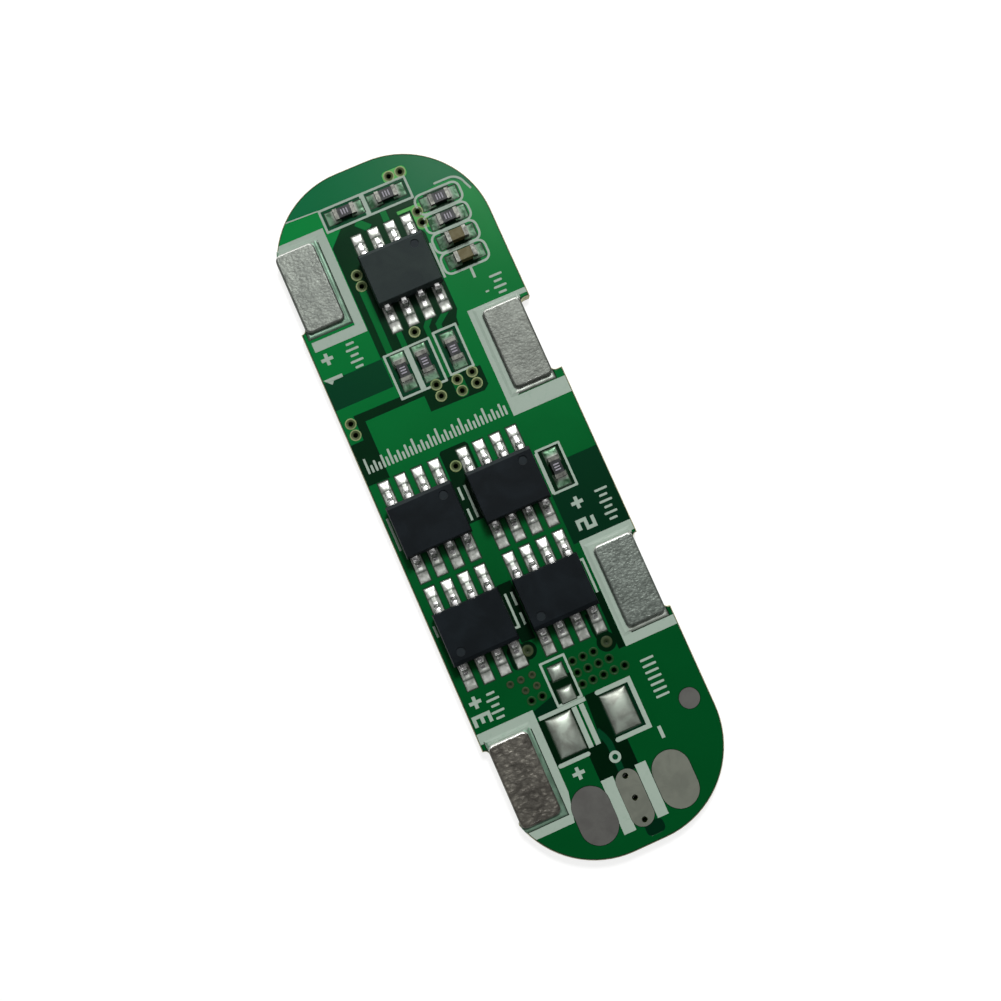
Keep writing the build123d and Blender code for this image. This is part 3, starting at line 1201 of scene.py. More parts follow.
class GeometryTree(Graph):
    """A geometry node tree with named inputs, and the bake of an object that uses it."""

    def __init__(self, name: str, inputs: dict[str, str]) -> None:
        """Start a tree that takes and gives one geometry and takes its material.

        Args:
            name: The tree's name.
            inputs: The kind of each further input, under the input's name.
        """
        super().__init__(bpy.data.node_groups.new(name, "GeometryNodeTree"))
        face = self.tree.interface
        face.new_socket("Geometry", in_out="OUTPUT", socket_type="NodeSocketGeometry")
        self.identifiers = {}
        for label, kind in {"Geometry": "Geometry", **inputs, "Material": "Material"}.items():
            socket = face.new_socket(label, in_out="INPUT", socket_type=f"NodeSocket{kind}")
            self.identifiers[label] = socket.identifier
        self.given = self.tree.nodes.new("NodeGroupInput").outputs

    def named(self, name: str, kind: str) -> Socket:
        """What an attribute holds."""
        return self.add("GeometryNodeInputNamedAttribute", {"Name": name}, "Attribute", data_type=kind)

    def end(self, geometry: Socket) -> GeometryTree:
        """Close the tree with Realize Instances and Set Material.

        Args:
            geometry: What the tree has made.

        Returns:
            The tree itself.
        """
        real = self.add("GeometryNodeRealizeInstances", {"Geometry": geometry})
        dressed = self.add("GeometryNodeSetMaterial", {"Geometry": real, "Material": self.given["Material"]})
        self.feed(self.tree.nodes.new("NodeGroupOutput"), {"Geometry": dressed})
        return self

    def bake(self, base: SceneObject, name: str, values: dict[str, object]) -> SceneObject:
        """Run the tree on an object and keep the result as a plain mesh.

        Args:
            base: The object that the tree works on. It is removed.
            name: The new piece's name.
            values: A value for each of the tree's named inputs.

        Returns:
            The new object, with no modifier.
        """
        modifier = base.modifiers.new(self.tree.name, "NODES")
        modifier.node_group = self.tree
        for label, value in values.items():
            modifier[self.identifiers[label]] = value
        bpy.context.view_layer.update()
        depsgraph = bpy.context.evaluated_depsgraph_get()
        mesh = bpy.data.meshes.new_from_object(base.evaluated_get(depsgraph), depsgraph=depsgraph)
        mesh.name = name
        bpy.data.objects.remove(base)
        return linked(name, mesh)


@dataclass(frozen=True)
class Spot:
    """A place for one copy of a pattern: its point, the way it faces in degrees and its size."""

    place: Place
    heading: float = 0.0
    size: Place = (1.0, 1.0, 1.0)


class Trees:
    """The geometry node trees that several sub-assemblies share."""

    def __init__(self) -> None:
        """Build every tree."""
        self.copies = self._copies()
        self.leads = self._leads()
        self.crinkled = self._crinkled()

    @staticmethod
    def _copies() -> GeometryTree:
        """Copies of one object on points that carry a heading and a size.

        Returns:
            The tree.
        """
        inputs = {"Pattern": "Object", "Turn Jitter": "Float", "Size Jitter": "Float", "Seed": "Int"}
        tree = GeometryTree("copies_on_points", inputs)
        feeds = {"Object": tree.given["Pattern"]}
        source = tree.add("GeometryNodeObjectInfo", feeds, "Geometry", transform_space="ORIGINAL")
        feeds = {2: -1.0, 3: 1.0, "Seed": tree.given["Seed"]}
        chance = tree.add("FunctionNodeRandomValue", feeds, 1, data_type="FLOAT")
        turned = tree.maths("MULTIPLY_ADD", chance, tree.given["Turn Jitter"], tree.named("heading", "FLOAT"))
        grown = tree.maths("MULTIPLY_ADD", chance, tree.given["Size Jitter"], 1.0)
        euler = tree.add("ShaderNodeCombineXYZ", {"Z": turned})
        feeds = {
            "Points": tree.given["Geometry"],
            "Instance": source,
            "Rotation": tree.add("FunctionNodeEulerToRotation", {"Euler": euler}),
            "Scale": tree.scaled(tree.named("size", "FLOAT_VECTOR"), grown),
        }
        return tree.end(tree.add("GeometryNodeInstanceOnPoints", feeds))

    @staticmethod
    def _leads() -> GeometryTree:
        """Two rows of formed leads from the centre line of one of them.

        Returns:
            The tree.
        """
        inputs = dict.fromkeys(("Width", "Thickness", "Bend Radius", "Edge Radius", "Pitch"), "Float")
        tree = GeometryTree("gull_wing_leads", inputs | {"Leads per Side": "Int", "Centre": "Vector"})
        given, fillet = tree.given, "GeometryNodeFilletCurve"
        feeds = {"Curve": given["Geometry"], "Count": 5, "Radius": given["Bend Radius"]}
        bent = tree.add(fillet, feeds, mode="POLY")
        feeds = {"Width": given["Width"], "Height": given["Thickness"]}
        section = tree.add("GeometryNodeCurvePrimitiveQuadrilateral", feeds)
        eased = tree.add(fillet, {"Curve": section, "Count": 3, "Radius": given["Edge Radius"]}, mode="POLY")
        feeds = {"Curve": bent, "Profile Curve": eased, "Fill Caps": True}
        formed = tree.add("GeometryNodeCurveToMesh", feeds)
        length = tree.maths("MULTIPLY", tree.maths("SUBTRACT", given["Leads per Side"], 1.0), given["Pitch"])
        start = tree.add("ShaderNodeCombineXYZ", {"X": tree.maths("MULTIPLY", length, -0.5)})
        feeds = {"Count": given["Leads per Side"], "Start Location": start}
        feeds["Offset"] = tree.add("ShaderNodeCombineXYZ", {"X": given["Pitch"]})
        line = tree.add("GeometryNodeMeshLine", feeds)
        row = tree.add("GeometryNodeInstanceOnPoints", {"Points": line, "Instance": formed})
        opposite = tree.add("GeometryNodeTransform", {"Geometry": row, "Rotation": (0.0, 0.0, math.pi)})
        both = tree.add("GeometryNodeJoinGeometry", {"Geometry": [opposite, row]})
        return tree.end(tree.add("GeometryNodeTransform", {"Geometry": both, "Translation": given["Centre"]}))

    @staticmethod
    def _crinkled() -> GeometryTree:
        """A sheet whose face rises and falls by two sizes of noise where it is free to give.

        Returns:
            The tree.
        """
        labels = ("Coarse Grains", "Coarse Height", "Fine Grains", "Fine Height", "Seed")
        tree = GeometryTree("crinkled_strip", dict.fromkeys(labels, "Float"))
        given = tree.given
        place = tree.scaled(tree.add("GeometryNodeInputPosition", {}), 1 / MM)
        lifts = []
        for size in ("Coarse", "Fine"):
            feeds = {"Vector": place, "Scale": given[f"{size} Grains"], "Detail": 2.0, "W": given["Seed"]}
            noise = tree.add("ShaderNodeTexNoise", feeds, noise_dimensions="4D")
            lifts.append(tree.maths("MULTIPLY", tree.maths("SUBTRACT", noise, 0.5), given[f"{size} Height"]))
        lift = tree.maths("MULTIPLY", tree.maths("ADD", *lifts), tree.named("give", "FLOAT"))
        feeds = {"Geometry": given["Geometry"], "Offset": tree.add("ShaderNodeCombineXYZ", {"Z": lift})}
        return tree.end(tree.add("GeometryNodeSetPosition", feeds))

    def copy(
        self,
        name: str,
        pattern: SceneObject,
        spots: Sequence[Spot],
        material: Material,
        turn: float = 0.0,
        grow: float = 0.0,
        seed: int = 1,
    ) -> SceneObject:
        """Place copies of a pattern and join them into one plain mesh.

        Args:
            name: The new piece's name.
            pattern: The object that is copied. It is removed.
            spots: Where the copies stand.
            material: The finish of the copies.
            turn: How far each may turn by chance, in degrees.
            grow: The share by which each may grow or shrink by chance.
            seed: The number that the chance starts from.

        Returns:
            The new object.
        """
        base = make_object(f"{name}_points", np.array([spot.place for spot in spots]), [])
        store(base, "heading", [math.radians(spot.heading) for spot in spots])
        sizes = base.data.attributes.new("size", "FLOAT_VECTOR", "POINT")
        sizes.data.foreach_set("vector", np.array([spot.size for spot in spots], np.float32).ravel())
        values = {"Pattern": pattern, "Turn Jitter": math.radians(turn), "Size Jitter": grow, "Seed": seed}
        made = self.copies.bake(base, name, values | {"Material": material})
        for leftover in ("heading", "size"):
            if leftover in made.data.attributes:
                made.data.attributes.remove(made.data.attributes[leftover])
        bpy.data.objects.remove(pattern)
        return made


@dataclass
class Assembly:
    """A sub-assembly, with the finishes and the node trees that it is built with."""

    finishes: Finishes
    trees: Trees


@dataclass(frozen=True)
class Field:
    """A closed outline on the board's top, and what it sets there."""

    outline: Outline
    value: Cover | bool


def fields(value: Cover | bool, *outlines: Outline) -> list[Field]:
    """Several outlines that set the same."""
    return [Field(outline, value) for outline in outlines]


class PlanarMap:
    """The board's top cut into triangles along every outline that is laid on it."""

    def __init__(self, outlines: Sequence[Outline]) -> None:
        """Lay the outlines down and cut.

        Args:
            outlines: Closed outlines. They may cross each other.
        """
        points, borders = [], []
        for outline in outlines:
            ordered = list(outline) if signed_area(outline) > 0 else list(outline)[::-1]
            borders.append(list(range(len(points), len(points) + len(ordered))))
            points += [Vector((float(x), float(y))) for x, y in ordered]
        placed, _, triangles, _, _, inside = delaunay_2d_cdt(points, [], borders, 0, MAP_SNAP, True)
        self.corners = np.array([tuple(point) for point in placed])
        self.triangles = [tuple(triangle) for triangle in triangles]
        self.inside = [set(within) for within in inside]
        self.beside = {
            (triangle[at], triangle[(at + 1) % 3]): index
            for index, triangle in enumerate(self.triangles)
            for at in range(3)
        }

    def last(self, first: int, count: int) -> list[int | None]:
        """Which outline of a run, counted from its first, is the last that holds each triangle."""
        span = range(first, first + count)
        return [max((at - first for at in within if at in span), default=None) for within in self.inside]

    def terrace(
        self, steps: Sequence[Step | None], base: float, slope: float
    ) -> tuple[np.ndarray, list, list]:
        """A closed sheet with a level on each triangle and sloped edges between levels.

        Args:
            steps: Each triangle's level, or None where there is no sheet.
            base: The height of the sheet's underside.
            slope: How far an upper edge stands back from the lower one.

        Returns:
            The vertices, the faces and each vertex's tone.
        """
        foot = Step(base, 0.0)
        order: dict[tuple[int, Step], int] = {}
        inward: dict[int, list[np.ndarray]] = {}
        faces = []

        def vertex(corner: int, level: Step) -> int:
            """The vertex of a corner at a level, made when it is first asked for."""
            return order.setdefault((corner, level), len(order))

        for triangle, step in zip(self.triangles, steps):
            if step is None:
                continue
            faces.append(tuple(vertex(corner, step) for corner in triangle))
            faces.append(tuple(vertex(corner, foot) for corner in triangle[::-1]))
            for here, there in zip(triangle, triangle[1:] + triangle[:1]):
                neighbour = self.beside.get((there, here))
                other = steps[neighbour] if neighbour is not None else None
                if other is not None and other.height >= step.height:
                    continue
                low = other or foot
                lower = (vertex(here, low), vertex(there, low))
                faces.append((vertex(here, step), *lower, vertex(there, step)))
                run = self.corners[there] - self.corners[here]
                normal = np.array((-run[1], run[0])) / (np.linalg.norm(run) + 1e-12)
                for corner in (here, there):
                    inward.setdefault(vertex(corner, step), []).append(normal)
        faces += self._closing(faces)
        points = np.array([(*self.corners[corner], level.height) for corner, level in order])
        for at, normals in inward.items():
            total = np.sum(normals, axis=0)
            length = np.linalg.norm(total)
            if length > 0.2:
                middle = total / length
                points[at, :2] += middle * slope / max(float(middle @ normals[0]), 0.5)
        return points, faces, [level.tone for _, level in order]

    @staticmethod
    def _closing(faces: Sequence[tuple[int, ...]]) -> list[tuple[int, ...]]:
        """The slivers that close a terraced sheet where three or more levels meet at a corner.

        Args:
            faces: The sheet's faces so far.

        Returns:
            The further faces.
        """
        runs = Counter(run for face in faces for run in zip(face, face[1:] + face[:1]))
        following: dict[int, list[int]] = {}
        for (here, there), count in runs.items():
            for _ in range(count - runs[there, here]):
                following.setdefault(there, []).append(here)
        slivers = []
        for start in following:
            chain = [start]
            while following[chain[-1]]:
                after = following[chain[-1]].pop()
                if after in chain:
                    at = chain.index(after)
                    slivers.append(tuple(chain[at:]))
                    chain = chain[:at]
                chain.append(after)
        return slivers


@dataclass(frozen=True)
class BoardPrint:
    """The fields of copper, bare laminate and ink that the board carries."""

    line: float = 0.175
    sign_height: float = 1.1
    sign_pen: float = 0.26

    def covers(self) -> list[Field]:
        """What lies under the mask, each field over those before it."""
        return self._head_covers() + self._middle_covers() + self._transistor_covers() + self._tail_covers()

    @staticmethod
    def _head_covers() -> list[Field]:
        """The bare end, the ground round the controller and its tracks.

        Returns:
            The fields.
        """
        end = [(-9.0, 27.0), (-9.0, 24.0), (-3.4, 23.95), (-3.4, 22.1), (3.4, 22.1), (5.0, 22.4), (6.2, 22.4)]
        end += [(6.9, 21.95), (7.3, 21.3), (9.0, 21.2), (9.0, 27.0)]
        ground = [(-2.35, 22.12), (-3.5, 20.95), (-3.5, 12.3), (2.5, 12.3), (2.55, 12.9), (2.85, 13.45)]
        ground += [(2.85, 15.8), (3.0, 19.4), (2.7, 20.0), (2.7, 21.4), (3.3, 21.6), (3.3, 22.12)]
        # The darkest cover round each chip part: bare laminate under it, and painted shade below it where its
        # shadow falls.
        chip_shade_fields = [rectangle(3.95, y, 5.85, y + 1.4) for y in (20.67, 19.17, 17.6, 15.95)]
        return [
            Field(end, Cover.TEAL),
            Field(ground, Cover.DEEP),
            *fields(Cover.BARE, rectangle(-3.3, 22.2, -0.35, 23.85), rectangle(0.1, 22.2, 3.1, 23.85)),
            Field(rounded_rectangle(1.75, 23.8, 3.6, 24.72, 0.35), Cover.PAD),
            Field(stroke([(-1.25, 22.1), (-0.45, 21.3)], 0.6), Cover.TRACK),
            Field(stroke([(0.83, 22.1), (0.83, 21.2)], 0.5), Cover.TRACK),
            Field(stroke([(1.7, 21.5), (3.0, 21.5)], 0.3), Cover.PAD),
            Field(rounded_rectangle(2.65, 19.7, 3.75, 21.65, 0.3), Cover.PAD),
            Field(stroke([(-2.78, 18.0), (-2.78, 12.3)], 0.52), Cover.TRACK),
            Field(stroke([(-1.62, 14.0), (-1.62, 12.3)], 0.45), Cover.TRACK),
            Field(stroke([(0.9, 13.75), (0.33, 13.1), (0.33, 8.9)], 0.42), Cover.TRACK),
            Field(stroke([(2.2, 13.7), (1.2, 12.95), (1.2, 12.3)], 0.42), Cover.TRACK),
            *fields(Cover.DEEP, *chip_shade_fields),
        ]

    @staticmethod
    def _middle_covers() -> list[Field]:
        """The divider's ground, the sense track at the left and the moats round the vias.

        Returns:
            The fields.
        """
        strip = [(-7.75, 7.45), (-6.9, 7.45), (-6.9, 9.25), (-3.4, 9.25), (-3.4, 10.1), (-7.75, 10.1)]
        band = [(-6.9, 9.25), (-6.9, 7.4), (-9.0, 7.4), (-9.0, 4.3), (-6.3, 4.3), (-6.3, 8.62), (-1.75, 8.62)]
        band += [(-1.75, 7.4), (2.3, 7.3), (2.7, 7.6), (2.7, 9.05), (-1.7, 9.2)]
        return [
            Field(rectangle(-9.0, 10.1, -3.5, 12.22), Cover.BARE),
            Field(band, Cover.DEEP),
            Field(strip, Cover.COPPER),
            *fields(Cover.BARE, rectangle(-3.2, 9.1, 0.05, 12.2), rectangle(0.7, 9.3, 2.2, 12.4)),
            Field(rounded_rectangle(0.4, 7.4, 1.3, 9.2, 0.4), Cover.TRACK),
            Field(rectangle(3.9, 0.95, 5.45, 1.75), Cover.BARE),
            Field(rectangle(3.9, -1.35, 5.45, 1.75), Cover.DEEP),
        ]

    @staticmethod
    def _transistor_covers() -> list[Field]:
        """The moats among the four transistors and the darker ground beside them.

        Returns:
            The fields.
        """
        moat = [(-2.45, 2.2), (-0.35, 2.2), (-0.35, 4.3), (-0.5, 4.5), (-2.3, 4.5), (-2.45, 4.35)]
        right = [(5.65, 0.55), (9.0, 0.55), (9.0, -5.2), (3.6, -5.2), (3.6, -1.5), (5.65, -1.5)]
        gaps = [rectangle(-2.5, -0.95, -1.45, 2.25), rectangle(-2.5, -10.0, -1.5, -5.7)]
        rings = [disc((-2.35, -10.62), 0.62), disc((2.89, -12.26), 0.68)]
        return [
            *fields(Cover.DEEP, moat, *gaps),
            Field(right, Cover.BARE),
            Field(rectangle(3.5, -13.05, 3.95, -8.9), Cover.DEEP),
            *fields(Cover.DEEP, rounded_rectangle(-3.75, -11.6, -2.55, -9.9, 0.4), *rings),
            Field(stroke([(2.89, -12.2), (2.75, -11.2), (2.75, -10.0)], 0.95), Cover.DEEP),
        ]

    @staticmethod
    def _tail_covers() -> list[Field]:
        """The ground round the outputs and the sense track that runs to its land.

        Returns:
            The fields.
        """
        corner = [(-3.65, -14.6), (-2.05, -14.15), (-2.05, -15.07), (-3.65, -15.07)]
        gap = [(0.0, -15.05), (0.9, -15.05), (0.75, -18.4), (1.45, -18.5), (1.45, -20.9), (-1.4, -20.9)]
        gap += [(-1.4, -18.35), (-0.2, -18.35)]
        track = [(-0.25, -17.5), (0.05, -18.1), (0.22, -18.7), (0.22, -21.0)]
        return [
            Field(corner, Cover.BARE),
            Field(rectangle(-3.72, -18.57, -1.2, -15.36), Cover.DEEP),
            Field(rectangle(0.66, -18.52, 3.06, -15.36), Cover.BARE),
            *fields(Cover.DEEP, rectangle(-1.93, -14.92, -0.25, -13.15), gap),
            Field(stroke(track, 0.5), Cover.TEAL),
            Field(rounded_rectangle(0.1, -25.5, 1.4, -24.6, 0.3), Cover.BARE),
        ]

    def inks(self) -> list[Field]:
        """The printed lines, bars and signs. A later field that holds False clears what is under it."""
        frames = self._tab_frames() + self._chip_boxes() + self._package_lines() + self._output_frames()
        return frames + self._signs()

    @staticmethod
    def _tab_frames() -> list[Field]:
        """The broad white brackets round the four tabs.

        Returns:
            The fields of ink.
        """
        first = [(-7.6, 22.0), (-4.25, 22.0), (-4.25, 15.25), (-7.58, 15.25), (-7.58, 14.5), (-3.58, 14.5)]
        first += [(-3.58, 22.66), (-7.3, 22.66)]
        negative = [(7.95, 12.6), (4.3, 12.6), (4.3, 6.0), (7.95, 6.0), (7.95, 4.76), (3.43, 4.76)]
        negative += [(3.43, 12.98), (7.95, 12.98)]
        second = [(8.1, -5.9), (4.3, -5.9), (4.3, -12.4), (7.95, -12.4), (7.95, -13.1), (4.0, -13.1)]
        second += [(4.0, -5.15), (8.1, -5.15)]
        third = [(-7.95, -14.45), (-3.7, -14.45), (-3.7, -20.5), (-4.15, -22.55), (-7.0, -22.55)]
        third += [(-7.4, -21.85), (-4.3, -21.85), (-4.3, -15.2), (-7.95, -15.2)]
        return fields(True, first, negative, second, third)

    def _box(self, left: float, bottom: float, right: float, top: float, radius: float = 0.08) -> list[Field]:
        """A printed box: its outer edge and the field that clears its middle.

        Args:
            left: Its lowest X.
            bottom: Its lowest Y.
            right: Its highest X.
            top: Its highest Y.
            radius: The radius of its corners.

        Returns:
            The two fields.
        """
        line = self.line
        inner = max(radius - line, 0.04)
        middle = rounded_rectangle(left + line, bottom + line, right - line, top - line, inner)
        return fields(True, rounded_rectangle(left, bottom, right, top, radius)) + fields(False, middle)

    def _chip_boxes(self) -> list[Field]:
        """The boxes and loops round the chip parts.

        Returns:
            The fields of ink.
        """
        curve = [(5.05, 22.5), (6.1, 22.5), *arc((6.1, 21.5), 1.0, 80, 15), (7.3, 21.2)]
        marks = self._box(-3.45, 22.1, 3.32, 23.95)
        marks += fields(True, rectangle(-0.3, 22.1, 0.05, 23.9), stroke([(-5.9, 24.03), (-3.4, 23.92)], 0.1))
        for top, bottom in ((22.22, 20.52), (20.62, 19.02), (19.12, 17.45), (17.55, 15.8)):
            marks += self._box(3.1, bottom, 6.68, top, 0.6)
        marks += fields(True, stroke([(4.95, 15.85), (4.95, 15.0)], 0.2), stroke(curve, 0.16, True))
        marks += self._box(-3.36, 8.93, 0.22, 12.4)
        marks += fields(True, rectangle(-1.8, 8.93, -1.4, 12.3))
        marks += self._box(0.48, 9.14, 2.38, 12.58)
        marks += fields(False, rectangle(-1.05, 8.85, -0.3, 9.2))
        return marks + self._box(3.72, -1.5, 5.62, 1.92) + self._box(-2.06, -15.05, -0.12, -11.76)

    def _package_lines(self) -> list[Field]:
        """The lines that stand beside the packages.

        Returns:
            The fields of ink.
        """
        runs = [
            [(3.0, 18.6), (3.0, 15.85)],
            [(-2.2, 1.72), (-2.2, 0.75)],
            [(-2.2, 0.08), (-2.2, -0.8)],
            [(-1.74, 1.7), (-1.74, -0.76)],
            [(-7.62, 1.7), (-7.62, -0.76)],
            [(3.72, 1.7), (3.72, -1.4)],
            [(-2.22, -6.4), (-2.22, -8.86), (-2.55, -8.86)],
            [(-1.76, -6.45), (-1.76, -7.45)],
            [(-1.76, -8.0), (-1.76, -8.9)],
            [(3.45, -6.38), (3.72, -6.38), (3.72, -8.9)],
            [(-7.63, -6.45), (-7.63, -7.3)],
        ]
        return fields(True, *[stroke(path, self.line) for path in runs])

    @staticmethod
    def _output_frames() -> list[Field]:
        """The frames of the two outputs and the bars between the wire lands.

        Returns:
            The fields of ink.
        """
        bracket = [(0.85, -15.19), (3.22, -15.19), (3.22, -18.68), (0.85, -18.68)]
        return fields(
            True,
            rectangle(-3.55, -15.36, -0.06, -15.06),
            stroke([(-3.5, -18.72), (-1.4, -18.72)], 0.3, True),
            rectangle(-1.2, -18.42, -0.84, -15.42),
            rectangle(-0.67, -18.42, -0.3, -15.42),
            stroke(bracket, 0.33, True),
            rectangle(-1.39, -24.7, -0.49, -20.75),
            rectangle(1.175, -24.6, 1.99, -20.7),
        )

    def _signs(self) -> list[Field]:
        """Plus and minus signs and plain cell numbers beside the tabs and outputs.

        Returns:
            The fields of ink.
        """
        shapes = {
            "+": [[(-0.4, 0.0), (0.4, 0.0)], [(0.0, -0.4), (0.0, 0.4)]],
            "-": [[(-0.4, 0.0), (0.4, 0.0)]],
            "0": [[(-0.3, -0.5), (0.3, -0.5), (0.3, 0.5), (-0.3, 0.5), (-0.3, -0.62)]],
            "1": [[(-0.25, 0.25), (0.0, 0.5), (0.0, -0.5)]],
            "2": [[(-0.3, 0.5), (0.3, 0.5), (0.3, 0.0), (-0.3, 0.0), (-0.3, -0.5), (0.35, -0.5)]],
            "3": [[(-0.3, 0.5), (0.3, 0.5), (0.3, -0.5), (-0.3, -0.5)], [(-0.2, 0.0), (0.3, 0.0)]],
        }
        places = [
            ("+", -7.0, 13.75), ("1", -7.0, 12.3), ("0", 4.8, 14.0), ("+", 5.0, -2.6), ("2", 5.0, -4.2),
            ("+", -7.1, -12.4), ("3", -7.1, -13.7), ("+", -2.55, -19.65), ("-", 3.8, -19.4),
        ]
        marks = []
        for sign, x, y in places:
            for path in shapes[sign]:
                turned = [(x - v * self.sign_height, y + u * self.sign_height) for u, v in path]
                marks += fields(True, stroke(turned, self.sign_pen))
        middle = (0.2, -19.65)
        return marks + fields(True, disc(middle, 0.42)) + fields(False, disc(middle, 0.2, 20))


@dataclass
class CircuitBoard(Assembly):
    """The laminate, the mask on both faces, the print and the vias."""

    edge_margin: float = 0.09
    laminate_break: float = 0.05
    underside_mask: float = 0.02
    solder_clearance: float = 0.06
    land_clearance: float = 0.02
    via_opening: float = 0.24
    sense_opening: float = 0.3
    opening_steps: int = 20
    via_rim_radius: float = 0.42
    tail_rim_radius: float = 0.35
    via_bore_radius: float = 0.15
    via_barrel_radius: float = 0.178
    tail_vias_below: float = -12.0
    rim_height: float = 0.036
    round_steps: int = 28
    filled_size: float = 0.65
    ink_thickness: float = 0.01
    ink_slope: float = 0.004
    copper_slope: float = 0.035
    closed: tuple[Point, ...] = ((-2.35, -10.62), (2.89, -12.26))
    filled: tuple[Point, ...] = (
        (-4.4, -12.26), (-3.6, -12.26), (-2.75, -12.26), (-3.6, -13.06), (-2.75, -13.06)
    )

    def __post_init__(self) -> None:
        """Read the outline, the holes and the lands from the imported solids."""
        self.top = node_box("circuit_board").high.z
        self.edge, *self.holes = top_loops(packed("circuit_board"))
        centres = [(float(hole[:, 0].mean()), float(hole[:, 1].mean())) for hole in self.holes]
        sense = node_box("sense_wire_land")
        self.sense_holes = [hole for hole, centre in zip(self.holes, centres) if sense.holds(centre)]
        self.sense_spots = [centre for centre in centres if sense.holds(centre)]
        self.vias = [centre for centre in centres if not sense.holds(centre)]

    def build(self) -> None:
        """Make every piece of the bare board."""
        low, high, rub = self.underside_mask, self.top, self.laminate_break
        rings = [(low, rub), (low + rub, 0.0), (high - rub, 0.0), (high, rub)]
        piece = slab_object("board_laminate", [self.edge, *self.holes], rings)
        seat(piece, Slot.MASK, self.finishes.laminate, "circuit_board")
        loops = [inset_loop(self.edge, self.edge_margin), *self.sense_holes]
        piece = slab_object("underside_mask", loops, [(0.0, 0.0), (self.underside_mask, 0.0)])
        store(piece, "tone", [Cover.COPPER.value.tone] * len(piece.data.vertices))
        seat(piece, Slot.MASK, self.finishes.mask)
        self._mask_and_print(self._openings())
        self._via_rims()
        self._sense_barrels()
        self._closed_vias()

    def _openings(self) -> list[Outline]:
        """The outlines that the mask leaves open.

        Returns:
            One outline round each soldered land, bare land, via and hole.
        """
        soldered = [o for o in bpy.context.scene.objects if "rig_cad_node" in o and o.name.endswith("solder")]
        openings = [box.outline(self.solder_clearance) for node in soldered for box in solid_boxes(node)]
        for name in ("positive_wire_land", "sense_wire_land", "negative_wire_land", "alignment_mark"):
            openings.append(inset_points(top_loops(packed(name))[0], -self.land_clearance))
        openings += [disc(centre, self.via_opening, self.opening_steps) for centre in self.vias]
        return openings + [disc(spot, self.sense_opening, self.opening_steps) for spot in self.sense_spots]

    def _mask_and_print(self, openings: Sequence[Outline]) -> None:
        """The mask on the fitted side, which follows the copper, and the ink on it.

        Args:
            openings: The outlines that the mask leaves open.
        """
        plan = BoardPrint()
        covers = fields(Cover.COPPER, inset_points(self.edge, self.edge_margin)) + plan.covers()
        inks = plan.inks()
        chart = PlanarMap([f.outline for f in covers] + list(openings) + [f.outline for f in inks])
        cover_at = chart.last(0, len(covers))
        opening_at = chart.last(len(covers), len(openings))
        ink_at = chart.last(len(covers) + len(openings), len(inks))
        mask_steps, ink_steps = [], []
        for within, cover, opened, ink in zip(chart.inside, cover_at, opening_at, ink_at):
            masked = 0 in within and opened is None
            step = covers[cover].value.value if masked else None
            printed = masked and ink is not None and inks[ink].value
            mask_steps.append(step)
            ink_steps.append(Step(step.height + self.ink_thickness, step.tone) if printed else None)
        points, faces, tones = chart.terrace(mask_steps, self.top, self.copper_slope)
        mask = make_object("fitted_side_mask", points, faces)
        store(mask, "tone", tones)
        seat(mask, Slot.MASK, self.finishes.mask)
        points, faces, _ = chart.terrace(ink_steps, Cover.DEEP.height, self.ink_slope)
        seat(make_object("printed_frames", points, faces), Slot.MASK, self.finishes.ink)

    def _via_rims(self) -> None:
        """The plated rim and barrel of each open via."""
        bore, top = self.via_bore_radius, self.top
        groups = {
            "via_rims": (self.finishes.via, False, self.via_rim_radius, 0.25),
            "tail_via_rims": (self.finishes.dark_via, True, self.tail_rim_radius, 0.6),
        }
        for name, (finish, at_tail, rim, inner) in groups.items():
            section = [*self._barrel(), (rim, top), (rim, top + 0.015)]
            section += [(rim - 0.02, top + self.rim_height), (rim - 0.07, top + 0.044)]
            section += [(rim - 0.11, top + self.rim_height), (bore + 0.05, top + 0.022), (bore, top - 0.05)]
            above = [r if z > top else 0.0 for r, z in section]
            # Painted shade: points below the board's top and at the bore take tone 0, the hole's dark colour,
            # and the inner slope takes a middle tone.
            crown = [1.0 if r > rim - 0.09 else inner if r > bore + 0.02 else 0.0 for r in above]
            pattern = lathed(f"{name}_pattern", section, crown, self.round_steps)
            spots = [Spot((x, y, 0.0)) for x, y in self.vias if (y < self.tail_vias_below) == at_tail]
            seat(self.trees.copy(name, pattern, spots, finish, 180.0, 0.0, 3), Slot.MASK, finish)

    def _barrel(self) -> list[Ring]:
        """The wall of a plated hole, as the start of its section.

        Returns:
            The section's first three points.
        """
        low, bore, barrel = self.underside_mask + 0.004, self.via_bore_radius, self.via_barrel_radius
        return [(bore, low), (barrel, low), (barrel, self.top)]

    def _sense_barrels(self) -> None:
        """The plated walls of the sense land's holes."""
        low, barrel, _ = self._barrel()
        high = self.top + self.rim_height
        section = [low, barrel, (self.via_barrel_radius, high), (self.via_bore_radius, high)]
        # Painted shade: every point has tone 0, so the walls take the via finish's dark hole colour.
        pattern = lathed("barrel_pattern", section, [0.0] * len(section), self.round_steps, False)
        spots = [Spot((x, y, 0.0)) for x, y in self.sense_spots]
        barrels = self.trees.copy("sense_hole_barrels", pattern, spots, self.finishes.via)
        seat(barrels, Slot.LAND, self.finishes.via)

    def _closed_vias(self) -> None:
        """Vias that the mask closes: a low ring, sunk in its middle."""
        top, finish = Cover.BARE.height, self.finishes.closed_via
        section = [(0.04, top - 0.01), (0.42, top - 0.01), (0.42, top + 0.004), (0.37, top + 0.02)]
        section += [(0.28, top + 0.022), (0.17, top + 0.004), (0.04, top + 0.002)]
